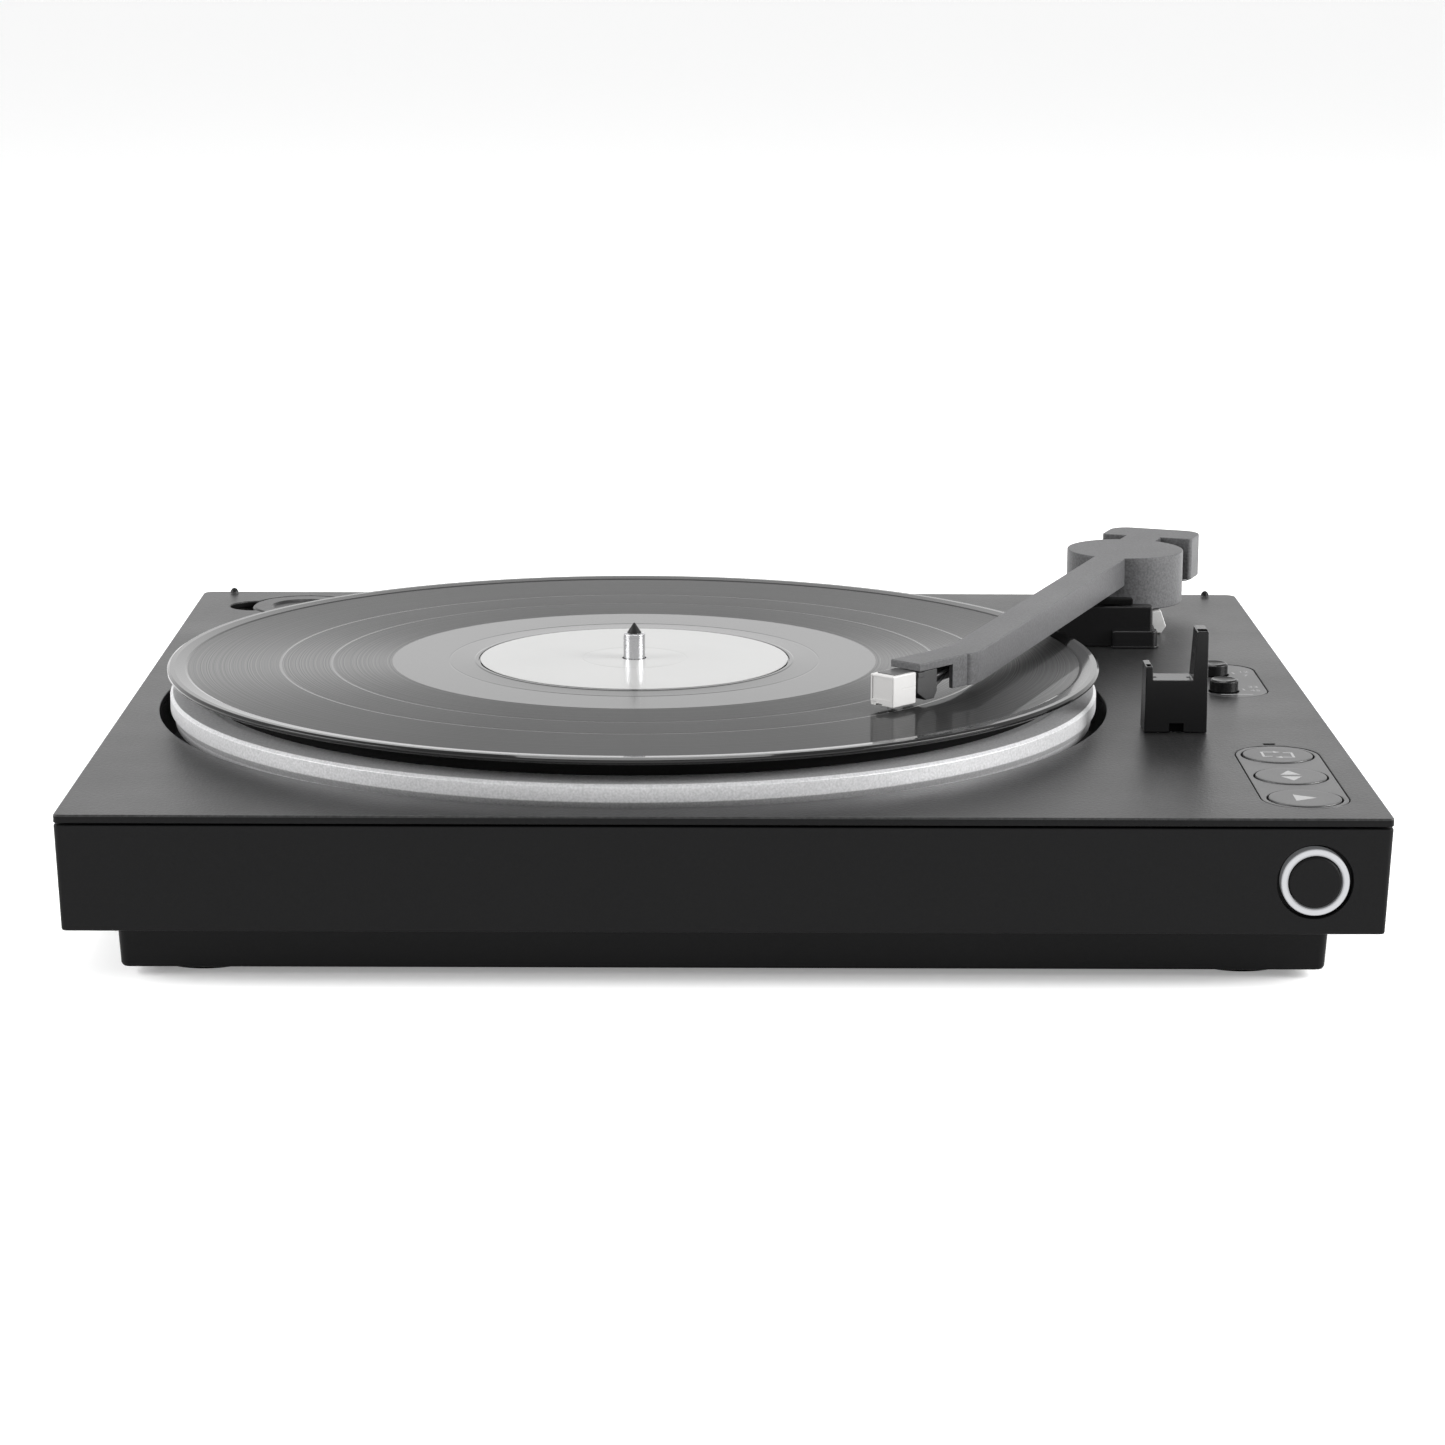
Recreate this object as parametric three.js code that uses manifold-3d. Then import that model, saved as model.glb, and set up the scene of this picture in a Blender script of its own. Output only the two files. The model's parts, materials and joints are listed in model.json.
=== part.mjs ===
// Automatic belt-drive record player, built as separate solids in millimetres, +Z up.
// Everything is laid out in the deck frame, where z = 0 is the top face of the deck and x = y = 0 is
// its middle. The exported group lifts that frame by DECK_HEIGHT, so the object stands on z = 0.
import * as THREE from "three";
import { mergeVertices } from "three/addons/utils/BufferGeometryUtils.js";
import Module from "manifold-3d";

const wasm = await Module();
wasm.setup();

// ---- driving dimensions -------------------------------------------------------------------------
const DECK_WIDTH = 384.4;
const DECK_DEPTH = 354.9;
const DECK_HEIGHT = 52.2;
const DECK_THICKNESS = 2.5;
const DECK_CORNERS = [1.5, 1.5, 3.5, 3.5];
const FIT_GAP = 0.3;
const ROUND = 56;

// Cutting solids run from below the underside of a plate to above its top face.
const CUT_ABOVE = 1;
const CUT_BELOW = -5;

const PLINTH_TOP = -3.1;
const PLINTH_BOTTOM = -34.8;
const PLINTH_DRAFT = 1.3;
const WALL = 2.5;
const TRAY_BOTTOM = -49.7;
const TRAY_INSET = 15;
const TRAY_WALL = 3.5;
const FLANGE_REACH = TRAY_INSET + 8;
const FOOT_RADIUS = 16;

const PLATTER_CENTRE = [-28.6, -13.5];
const PLATTER_RADIUS = 150;
const WELL_RADIUS = 153.5;
const WELL_WALL = 2;
const WELL_FLOOR_TOP = -16;
const WELL_FLOOR_BOTTOM = WELL_FLOOR_TOP - WELL_WALL;
const WELL_FLOOR_CUT = [-20, -14];
const BEARING_HOLE_RADIUS = 8.4;
const SHAFT_HOLE_RADIUS = 4;
const RECORD_RADIUS = 150.8;
const RECORD_TOP = 13.35;
const RECORD_RIM_TOP = 13.9;
const LABEL_RADIUS = 50;
const LABEL_TOP = 13.6;
const SPINDLE_RADIUS = 3.5;
const SPINDLE_TIP = 25.2;

const BELT_RING_RADIUS = 95;
const PULLEY_RADIUS = 5;
const BELT_THICKNESS = 0.8;
const MOTOR_DISTANCE = 118;
const MOTOR_ANGLE = THREE.MathUtils.degToRad(125);

const GEAR_MODULE = 1;
const HUB_TEETH = 20;
const CAM_TEETH = 60;
const CAM_ANGLE = THREE.MathUtils.degToRad(50);
const CAM_GAP_HALF_ANGLE = THREE.MathUtils.degToRad(20);

const ARM_PIVOT = [144.8, 120.1];
const ARM_ANGLE = THREE.MathUtils.degToRad(20.3);
const ARM_TOP = 27.2;
const ARM_BOTTOM = 17.2;
const ARM_LEFT = -6.2;
const ARM_RIGHT = 5.1;
const ARM_WALL = 1.4;
const ARM_HOLE_RADIUS = 6;
const DRUM_RADIUS = 20.65;
const DRUM_BOTTOM = 8.7;
const GIMBAL_HEIGHT = 15;
const STYLUS_ALONG = 232.1;
const STYLUS_ACROSS = -14.7;
const STYLUS_TIP = 14.0;
const HEADSHELL_ANGLE = THREE.MathUtils.degToRad(22.5);
const HEADSHELL_FRONT = -8.1;
const HEADSHELL_BACK = -34;
const HEADSHELL_HALF_WIDTH = 5.8;
const HEADSHELL_UNDERSIDE = 24.9;

const BUTTON_X = 170.1;
const BUTTON_ROWS = { repeat_button: -94.8, lift_button: -123.4, start_button: -152.1 };
const BUTTON_RADIUS = 10.7;
const BUTTON_HOLE_RADIUS = 11.1;
const BUTTON_PANEL_RADIUS = 13.1;
const SELECTOR_X = 165.9;
const SELECTOR_ROWS = { size_button: 28.9, speed_button: 1.9 };
const SELECTOR_RADIUS = 4.7;
const SELECTOR_PANEL = { x: 169.6, y: [2.5, 35], radius: 11 };
const POWER_CENTRE = [170.1, -19];
const POWER_RADIUS = 7.6;
const ADAPTER_CENTRE = [-152.2, 149.8];
const ADAPTER_RADIUS = 18.9;
const POCKET_RADIUS = ADAPTER_RADIUS + 0.6;
const POCKET_FLOOR = -4;
const POCKET_WALL = 2.4;
const FINGER_DIP_CENTRE = [ADAPTER_CENTRE[0] - 18, ADAPTER_CENTRE[1] - 1];
const FINGER_DIP_RADIUS = 9.2;
const FINGER_DIP_FLOOR = -5.5;

const HALF_WIDTH = DECK_WIDTH / 2;
const HALF_DEPTH = DECK_DEPTH / 2;
const polar = (centre, distance, angle) => [
  centre[0] + distance * Math.cos(angle),
  centre[1] + distance * Math.sin(angle),
];
const MOTOR_CENTRE = polar(PLATTER_CENTRE, MOTOR_DISTANCE, MOTOR_ANGLE);
const CAM_DISTANCE = (GEAR_MODULE * (HUB_TEETH + CAM_TEETH)) / 2;
const CAM_CENTRE = polar(PLATTER_CENTRE, CAM_DISTANCE, CAM_ANGLE);

// ---- materials ----------------------------------------------------------------------------------
const material = (color, roughness, metalness = 0) =>
  new THREE.MeshStandardMaterial({ color, roughness, metalness });
const LOOKS = {
  deck: () => material(0x2b2b2c, 0.62),
  body: () => material(0x0d0d0e, 0.42),
  black: () => material(0x101011, 0.35),
  arm: () => material(0x5a5a5c, 0.55),
  silver: () => material(0xc9cacc, 0.28, 1),
  steel: () => material(0xb9babd, 0.25, 1),
  mat: () => material(0x090909, 0.9),
  vinyl: () => material(0x08080a, 0.2),
  label: () => material(0xe7e6e3, 0.4),
  white: () => material(0xededeb, 0.35),
  rubber: () => material(0x17171a, 0.85),
  nylon: () => material(0xd8d4c8, 0.5),
  board: () => material(0x1d4a2c, 0.5),
  brass: () => material(0xb58d45, 0.35, 1),
  pale: () => material(0xb5b5b3, 0.45),
  glow: () => material(0xf4f6fb, 0.3),
};

// ---- geometry helpers ---------------------------------------------------------------------------
const toSolid = (geometry) => {
  const bare = geometry.index ? geometry : geometry.clone();
  bare.deleteAttribute("normal");
  bare.deleteAttribute("uv");
  const merged = mergeVertices(bare, 1e-4);
  const vertProperties = merged.attributes.position.array;
  const data = { numProp: 3, vertProperties, triVerts: merged.index.array };
  return new wasm.Manifold(new wasm.Mesh(data));
};

const toGeometry = (solid) => {
  const data = solid.getMesh();
  const geometry = new THREE.BufferGeometry();
  geometry.setAttribute("position", new THREE.BufferAttribute(data.vertProperties, 3));
  geometry.setIndex(new THREE.BufferAttribute(data.triVerts, 1));
  return geometry;
};

const join = (...solids) => solids.reduce((whole, solid) => whole.add(solid));
const cut = (whole, ...tools) => tools.reduce((rest, tool) => rest.subtract(tool), whole);

// A box given by its low and high limits on each axis.
const box = ([x0, x1], [y0, y1], [z0, z1]) => {
  const geometry = new THREE.BoxGeometry(x1 - x0, y1 - y0, z1 - z0);
  geometry.translate((x0 + x1) / 2, (y0 + y1) / 2, (z0 + z1) / 2);
  return toSolid(geometry);
};

// A flat outline raised from z0 to z1.
const slab = (shape, z0, z1, curveSegments = 3) => {
  const geometry = new THREE.ExtrudeGeometry(shape, { depth: z1 - z0, bevelEnabled: false, curveSegments });
  geometry.translate(0, 0, z0);
  return toSolid(geometry);
};

// A profile of [radius, height] points turned about the vertical axis.
const turned = (profile, segments, [x, y] = [0, 0]) => {
  const points = profile.map(([radius, height]) => new THREE.Vector2(radius, height));
  if (profile[0][0] > 0) points.push(points[0].clone());
  const geometry = new THREE.LatheGeometry(points, segments);
  geometry.rotateX(Math.PI / 2);
  geometry.translate(x, y, 0);
  return toSolid(geometry);
};

const rod = (centre, radius, z0, z1, segments = 24) =>
  turned([[0, z0], [radius, z0], [radius, z1], [0, z1]], segments, centre);

// A round bar along +Y from y0 to y1, centred on [x, z].
const crossRod = ([x, z], radius, y0, y1, segments = 32) => {
  const geometry = new THREE.CylinderGeometry(radius, radius, y1 - y0, segments);
  geometry.translate(x, (y0 + y1) / 2, z);
  return toSolid(geometry);
};

const outline = (points) => new THREE.Shape(points.map(([x, y]) => new THREE.Vector2(x, y)));

// A rectangle whose four corners have their own radii: front left, front right, rear right, rear left.
const roundedRectangle = ([x0, x1], [y0, y1], [frontLeft, frontRight, rearRight, rearLeft]) => {
  const shape = new THREE.Shape();
  shape.moveTo(x0 + frontLeft, y0);
  shape.lineTo(x1 - frontRight, y0);
  shape.absarc(x1 - frontRight, y0 + frontRight, frontRight, -Math.PI / 2, 0);
  shape.absarc(x1 - rearRight, y1 - rearRight, rearRight, 0, Math.PI / 2);
  shape.absarc(x0 + rearLeft, y1 - rearLeft, rearLeft, Math.PI / 2, Math.PI);
  shape.absarc(x0 + frontLeft, y0 + frontLeft, frontLeft, Math.PI, 1.5 * Math.PI);
  return shape;
};

// A slot with round ends, standing along Y between two end centres.
const stadium = (x, [y0, y1], radius) => {
  const shape = new THREE.Shape();
  shape.absarc(x, y0, radius, Math.PI, 2 * Math.PI);
  shape.absarc(x, y1, radius, 0, Math.PI);
  return shape;
};

// A solid frustum with a rectangular plan that narrows downwards by draft on each side.
const draftedBlock = (halfWidth, halfDepth, z0, z1, draft, radius) => {
  const shape = roundedRectangle([-halfWidth, halfWidth], [-halfDepth, halfDepth], Array(4).fill(radius));
  const settings = { depth: z1 - z0, bevelEnabled: false, curveSegments: 4 };
  const geometry = new THREE.ExtrudeGeometry(shape, settings);
  geometry.translate(0, 0, z0);
  const positions = geometry.attributes.position;
  for (let i = 0; i < positions.count; i += 1) {
    const drop = ((z1 - positions.getZ(i)) / (z1 - z0)) * draft;
    positions.setX(i, positions.getX(i) * (1 - drop / halfWidth));
    positions.setY(i, positions.getY(i) * (1 - drop / halfDepth));
  }
  return toSolid(geometry);
};

const player = new THREE.Group();
player.position.z = DECK_HEIGHT;

const addPiece = (name, solid, look, parent = player) => {
  const piece = new THREE.Mesh(toGeometry(solid), LOOKS[look]());
  piece.name = name;
  parent.add(piece);
};

// ---- casing -------------------------------------------------------------------------------------
const buttonRows = Object.values(BUTTON_ROWS);
const buttonPanelEnds = [Math.min(...buttonRows), Math.max(...buttonRows)];
const STATUS_LIGHT = { x: [168.1, 171.1], y: [-79.8, -78.8] };
const widened = ([low, high]) => [low - FIT_GAP, high + FIT_GAP];
const LIFT_ROD = { centre: [126, 79], radius: 1.5, holeRadius: 2.4 };
const FOLLOWER = { centre: [10, 33], radius: 2, slotRadius: 9.5 };
const LEVER_PIVOT = [74, 80];
const LEVER_Z = [-21.6, -20];
const LEVER_STUD_RADIUS = 2.4;
const BOARD_POST_ROWS = [-86, -158];

// The top deck: a flat plate with the platter well moulded into it, a pocket for the adapter, and
// openings for the panels, the arm shaft and the arm lifter.
const makeTopPlate = () => {
  const plate = slab(
    roundedRectangle([-HALF_WIDTH, HALF_WIDTH], [-HALF_DEPTH, HALF_DEPTH], DECK_CORNERS),
    -DECK_THICKNESS,
    0,
  );
  const wellBody = rod(PLATTER_CENTRE, WELL_RADIUS + WELL_WALL, WELL_FLOOR_BOTTOM, -0.5, ROUND);
  const wellHollow = rod(PLATTER_CENTRE, WELL_RADIUS, WELL_FLOOR_TOP, CUT_ABOVE, ROUND);
  const pocketBoss = rod(ADAPTER_CENTRE, POCKET_RADIUS + POCKET_WALL, POCKET_FLOOR - 2.5, -1, 24);
  const pocket = rod(ADAPTER_CENTRE, POCKET_RADIUS, POCKET_FLOOR, CUT_ABOVE, 32);
  const fingerBoss = rod(FINGER_DIP_CENTRE, FINGER_DIP_RADIUS + 2.3, FINGER_DIP_FLOOR - 2.5, -1, 20);
  const fingerDip = rod(FINGER_DIP_CENTRE, FINGER_DIP_RADIUS, FINGER_DIP_FLOOR, CUT_ABOVE, 24);
  const boardPosts = BOARD_POST_ROWS.map((y) => rod([BUTTON_X + 9.5, y], 2, -7.1, -1, 12));
  const camPost = rod(CAM_CENTRE, 3, WELL_FLOOR_BOTTOM, -7.4, 20);
  const leverStud = rod(LEVER_PIVOT, LEVER_STUD_RADIUS, -23, WELL_FLOOR_TOP, 16);
  const well = join(cut(wellBody, wellHollow), camPost, leverStud);
  return cut(
    join(cut(plate, wellHollow), well, pocketBoss, fingerBoss, ...boardPosts),
    pocket,
    fingerDip,
    rod(PLATTER_CENTRE, BEARING_HOLE_RADIUS, ...WELL_FLOOR_CUT, 24),
    rod(MOTOR_CENTRE, SHAFT_HOLE_RADIUS, ...WELL_FLOOR_CUT, 16),
    rod(FOLLOWER.centre, FOLLOWER.slotRadius, ...WELL_FLOOR_CUT, 24),
    rod(ARM_PIVOT, ARM_HOLE_RADIUS, CUT_BELOW, CUT_ABOVE, 24),
    rod(LIFT_ROD.centre, LIFT_ROD.holeRadius, CUT_BELOW, CUT_ABOVE, 12),
    slab(stadium(BUTTON_X, buttonPanelEnds, BUTTON_PANEL_RADIUS), CUT_BELOW, CUT_ABOVE, 7),
    slab(stadium(SELECTOR_PANEL.x, SELECTOR_PANEL.y, SELECTOR_PANEL.radius), CUT_BELOW, CUT_ABOVE, 7),
    box(widened(STATUS_LIGHT.x), widened(STATUS_LIGHT.y), [CUT_BELOW, CUT_ABOVE]),
  );
};
addPiece("top_plate", makeTopPlate(), "deck");

// The side shell: four drafted walls with an inner lip under the deck and a flange under the tray.
const makePlinthShell = () => {
  const outer = draftedBlock(HALF_WIDTH, HALF_DEPTH, PLINTH_BOTTOM, PLINTH_TOP, PLINTH_DRAFT, 1.5);
  const lip = box(
    [-HALF_WIDTH + 2, HALF_WIDTH - 2],
    [-HALF_DEPTH + 2, HALF_DEPTH - 2],
    [PLINTH_TOP - 1, -DECK_THICKNESS - FIT_GAP],
  );
  const room = box(
    [-HALF_WIDTH + PLINTH_DRAFT + WALL, HALF_WIDTH - PLINTH_DRAFT - WALL],
    [-HALF_DEPTH + PLINTH_DRAFT + WALL, HALF_DEPTH - PLINTH_DRAFT - WALL],
    [PLINTH_BOTTOM + WALL, 0],
  );
  const flangeOpening = box(
    [-HALF_WIDTH + FLANGE_REACH, HALF_WIDTH - FLANGE_REACH],
    [-HALF_DEPTH + FLANGE_REACH, HALF_DEPTH - FLANGE_REACH],
    [PLINTH_BOTTOM - 1, PLINTH_BOTTOM + 5],
  );
  const powerHole = crossRod(POWER_CENTRE, 11, -HALF_DEPTH - 1, -HALF_DEPTH + 8);
  return cut(join(outer, lip), room, flangeOpening, powerHole);
};
addPiece("plinth_shell", makePlinthShell(), "body");

const JACKS = { rca_jack_left: 120, rca_jack_right: 134 };
const DC_JACK_X = -140;
const SOCKET_HEIGHT = -42;
const SWITCH_X = 100;
const RCA_RADIUS = 5.2;
const DC_JACK_RADIUS = 4.2;
const TRAY_REAR = HALF_DEPTH - TRAY_INSET;
const TRAY_WALL_CUT = [TRAY_REAR - 8, TRAY_REAR + 2];
const MAIN_BOARD = { x: [40, 150], y: [20, 110] };
const BOARD_BOTTOM = -44.2;
const FOOT_INSET = TRAY_INSET + 24;
const FOOT_X = HALF_WIDTH - FOOT_INSET;
const FOOT_Y = HALF_DEPTH - FOOT_INSET;
const COVER_PIN = [180.8, 174.1];

// The bottom tray: a shallow pan with board posts and the holes for the rear sockets.
const makeBaseTray = () => {
  const outer = draftedBlock(
    HALF_WIDTH - TRAY_INSET,
    HALF_DEPTH - TRAY_INSET,
    TRAY_BOTTOM,
    PLINTH_BOTTOM - FIT_GAP,
    0.8,
    3,
  );
  const room = box(
    [-HALF_WIDTH + TRAY_INSET + TRAY_WALL, HALF_WIDTH - TRAY_INSET - TRAY_WALL],
    [-HALF_DEPTH + TRAY_INSET + TRAY_WALL, HALF_DEPTH - TRAY_INSET - TRAY_WALL],
    [TRAY_BOTTOM + WALL, 0],
  );
  const postX = [MAIN_BOARD.x[0] + 5, MAIN_BOARD.x[1] - 5];
  const postY = [MAIN_BOARD.y[0] + 5, MAIN_BOARD.y[1] - 5];
  const posts = postX.flatMap((x) =>
    postY.map((y) => rod([x, y], 3, TRAY_BOTTOM + 1, BOARD_BOTTOM - FIT_GAP, 12)),
  );
  const socketHole = (x, radius) => crossRod([x, SOCKET_HEIGHT], radius, ...TRAY_WALL_CUT, 16);
  const jackHoles = Object.values(JACKS).map((x) => socketHole(x, RCA_RADIUS + 0.4));
  const dcHole = socketHole(DC_JACK_X, DC_JACK_RADIUS + 0.4);
  const switchHole = box([SWITCH_X - 5, SWITCH_X + 5], TRAY_WALL_CUT, [-44.5, -39.5]);
  return cut(join(cut(outer, room), ...posts), ...jackHoles, dcHole, switchHole);
};
addPiece("base_tray", makeBaseTray(), "body");

const FEET = {
  foot_front_left: [-FOOT_X, -FOOT_Y],
  foot_front_right: [FOOT_X, -FOOT_Y],
  foot_rear_left: [-FOOT_X, FOOT_Y],
  foot_rear_right: [FOOT_X, FOOT_Y],
};
for (const [name, centre] of Object.entries(FEET)) {
  const profile = [
    [0, -DECK_HEIGHT],
    [FOOT_RADIUS - 0.8, -DECK_HEIGHT],
    [FOOT_RADIUS, TRAY_BOTTOM - FIT_GAP],
    [0, TRAY_BOTTOM - FIT_GAP],
  ];
  addPiece(name, turned(profile, 24, centre), "rubber");
}

for (const [name, side] of [["cover_pin_left", -1], ["cover_pin_right", 1]]) {
  const profile = [[0, FIT_GAP], [2.4, FIT_GAP], [1.6, 2.2], [0.7, 3.1], [0, 3.1]];
  addPiece(name, turned(profile, 12, [side * COVER_PIN[0], COVER_PIN[1]]), "black");
}

// ---- platter, record and spindle ----------------------------------------------------------------
const MAT_TOP = 11.5;
const platterProfile = [
  [3.9, -7], [12, -7], [12, 5.4],
  [BELT_RING_RADIUS - 2.5, 5.4], [BELT_RING_RADIUS - 2.5, -13], [BELT_RING_RADIUS, -13],
  [BELT_RING_RADIUS, 5.4], [131, 5.4], [135, 2], [PLATTER_RADIUS - 3.5, 2], [PLATTER_RADIUS - 3.5, -4],
  [PLATTER_RADIUS, -4], [PLATTER_RADIUS, 4.9], [PLATTER_RADIUS - 1.3, 6],
  [137, 6], [137, 9.4], [3.9, 9.4],
];
addPiece("platter", turned(platterProfile, ROUND, PLATTER_CENTRE), "silver");

// The rubber mat caps the raised middle of the platter and folds down over its step.
const matProfile = [
  [4, 9.7], [137.3, 9.7], [137.3, 6.3], [139.3, 6.3], [139.3, MAT_TOP - 0.5], [138.7, MAT_TOP], [4, MAT_TOP],
];
addPiece("slip_mat", turned(matProfile, ROUND, PLATTER_CENTRE), "mat");

const recordProfile = [
  [3.8, 11.85], [RECORD_RADIUS - 0.8, 11.85], [RECORD_RADIUS, 12.5], [RECORD_RADIUS, 13.3],
  [RECORD_RADIUS - 0.8, RECORD_RIM_TOP], [145.2, RECORD_RIM_TOP], [144.5, RECORD_TOP],
  [LABEL_RADIUS + 0.4, RECORD_TOP], [LABEL_RADIUS + 0.4, 13.05], [3.8, 13.05],
];
addPiece("record_disc", turned(recordProfile, ROUND, PLATTER_CENTRE), "vinyl");

const labelProfile = [[3.9, 13.35], [LABEL_RADIUS, 13.35], [LABEL_RADIUS, LABEL_TOP], [3.9, LABEL_TOP]];
addPiece("record_label", turned(labelProfile, 36, PLATTER_CENTRE), "label");

const SPINDLE_FOOT = -37.9;
const spindleProfile = [
  [0, SPINDLE_FOOT], [SPINDLE_RADIUS, SPINDLE_FOOT], [SPINDLE_RADIUS, SPINDLE_TIP - 2.7],
  [2.2, SPINDLE_TIP - 0.9], [1.1, SPINDLE_TIP - 0.2], [0, SPINDLE_TIP],
];
addPiece("spindle", turned(spindleProfile, 20, PLATTER_CENTRE), "steel");

// A spur gear outline with straight-sided teeth. Teeth whose angle is within bareHalfAngle of
// bareAngle are left out, which makes the toothless stretch of the cam gear.
const gearOutline = (teeth, bareAngle = 0, bareHalfAngle = -1) => {
  const pitch = (2 * Math.PI) / teeth;
  const root = GEAR_MODULE * (teeth / 2 - 1.4);
  const tip = GEAR_MODULE * (teeth / 2 + 0.9);
  const points = [];
  for (let i = 0; i < teeth; i += 1) {
    const angle = i * pitch;
    const away = Math.abs(Math.atan2(Math.sin(angle - bareAngle), Math.cos(angle - bareAngle)));
    const top = away < bareHalfAngle ? root : tip;
    points.push(polar([0, 0], root, angle - 0.3 * pitch));
    points.push(polar([0, 0], top, angle - 0.12 * pitch));
    points.push(polar([0, 0], top, angle + 0.12 * pitch));
    points.push(polar([0, 0], root, angle + 0.3 * pitch));
  }
  return outline(points);
};

const ringHole = (radius) => {
  const hole = new THREE.Path();
  hole.absarc(0, 0, radius, 0, 2 * Math.PI, true);
  return hole;
};

const makeGear = (teeth, centre, bore, z0, z1, bareAngle, bareHalfAngle) => {
  const shape = gearOutline(teeth, bareAngle, bareHalfAngle);
  shape.holes.push(ringHole(bore));
  return slab(shape, z0, z1, 8).translate([centre[0], centre[1], 0]);
};
addPiece("hub_gear", makeGear(HUB_TEETH, PLATTER_CENTRE, 3.8, -12, -8), "nylon");

// ---- drive --------------------------------------------------------------------------------------
const bearingProfile = [[3.8, -38.3], [8, -38.3], [8, -15.7], [16, -15.7], [16, -13.4], [3.8, -13.4]];
addPiece("bearing_housing", turned(bearingProfile, 24, PLATTER_CENTRE), "brass");
addPiece("thrust_pad", rod(PLATTER_CENTRE, 7, -41.5, -38.6, 24), "nylon");

// The belt runs round the ring under the platter and round the motor pulley, on two tangents.
const beltLoop = (path, offset) => {
  const ringRadius = BELT_RING_RADIUS + FIT_GAP + offset;
  const pulleyRadius = PULLEY_RADIUS + FIT_GAP + offset;
  const spread = Math.acos((BELT_RING_RADIUS - PULLEY_RADIUS) / MOTOR_DISTANCE);
  const start = MOTOR_ANGLE + spread;
  const end = MOTOR_ANGLE - spread + 2 * Math.PI;
  path.absarc(...PLATTER_CENTRE, ringRadius, start, end);
  path.absarc(...MOTOR_CENTRE, pulleyRadius, MOTOR_ANGLE - spread, MOTOR_ANGLE + spread);
  return path;
};
const beltShape = beltLoop(new THREE.Shape(), BELT_THICKNESS);
beltShape.holes.push(beltLoop(new THREE.Path(), 0));
addPiece("drive_belt", slab(beltShape, -10.5, -5.5, 18), "rubber");

const pulleyProfile = [
  [1.3, -12], [6.4, -12], [6.4, -11.2], [PULLEY_RADIUS, -11],
  [PULLEY_RADIUS, -5], [6.4, -4.8], [6.4, -4], [1.3, -4],
];
addPiece("motor_pulley", turned(pulleyProfile, 16, MOTOR_CENTRE), "brass");
addPiece("motor_shaft", rod(MOTOR_CENTRE, 1, -29.7, -3.6, 16), "steel");
const motorProfile = [[0, -40.4], [18, -40.4], [18, -20.4], [1.4, -20.4], [1.4, -30], [0, -30]];
addPiece("motor_body", turned(motorProfile, 24, MOTOR_CENTRE), "steel");
const [motorX, motorY] = MOTOR_CENTRE;
const motorBracket = cut(
  box([motorX - 27, motorX + 27], [motorY - 18, motorY + 18], [-20.1, -18.3]),
  rod(MOTOR_CENTRE, 3, -21, -17, 16),
);
addPiece("motor_bracket", motorBracket, "steel");

// ---- automatic mechanism ------------------------------------------------------------------------
const camGear = makeGear(CAM_TEETH, CAM_CENTRE, 3.4, -12, -8, CAM_ANGLE + Math.PI, CAM_GAP_HALF_ANGLE);
addPiece("cam_gear", camGear, "nylon");

// The drive lever swings under the well floor; its follower pin reaches up to the cam gear.
const makeDriveLever = () => {
  const from = new THREE.Vector2(...FOLLOWER.centre);
  const to = new THREE.Vector2(126, 118);
  const along = new THREE.Vector2().subVectors(to, from).setLength(4);
  const corner = (end, sign) => [end.x - along.y * sign, end.y + along.x * sign];
  const ends = [corner(from, 1), corner(from, -1), corner(to, -1), corner(to, 1)];
  const bar = slab(outline(ends), ...LEVER_Z);
  const bosses = [FOLLOWER.centre, LEVER_PIVOT].map((centre) => rod(centre, 6, ...LEVER_Z, 20));
  const pin = rod(FOLLOWER.centre, FOLLOWER.radius, -21, -12.6, 16);
  return cut(join(bar, ...bosses, pin), rod(LEVER_PIVOT, LEVER_STUD_RADIUS + 0.4, -24, -18, 16));
};
addPiece("arm_drive_lever", makeDriveLever(), "steel");

// ---- tonearm ------------------------------------------------------------------------------------
// The arm frame has its origin on the pivot: x runs along the arm to the stylus, y to the side of
// the arm rest.
const armFrame = new THREE.Group();
armFrame.position.set(ARM_PIVOT[0], ARM_PIVOT[1], 0);
armFrame.rotation.z = -Math.PI / 2 - ARM_ANGLE;
player.add(armFrame);

// A point of the cartridge, given ahead of the stylus and to its right, in the arm frame.
const headPoint = (ahead, right) => [
  STYLUS_ALONG + ahead * Math.cos(HEADSHELL_ANGLE) + right * Math.sin(HEADSHELL_ANGLE),
  STYLUS_ACROSS - ahead * Math.sin(HEADSHELL_ANGLE) + right * Math.cos(HEADSHELL_ANGLE),
];
const headBlock = ([back, front], [left, right], z0, z1) => {
  const corners = [[back, left], [front, left], [front, right], [back, right]];
  return slab(outline(corners.map(([ahead, across]) => headPoint(ahead, across))), z0, z1);
};

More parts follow.
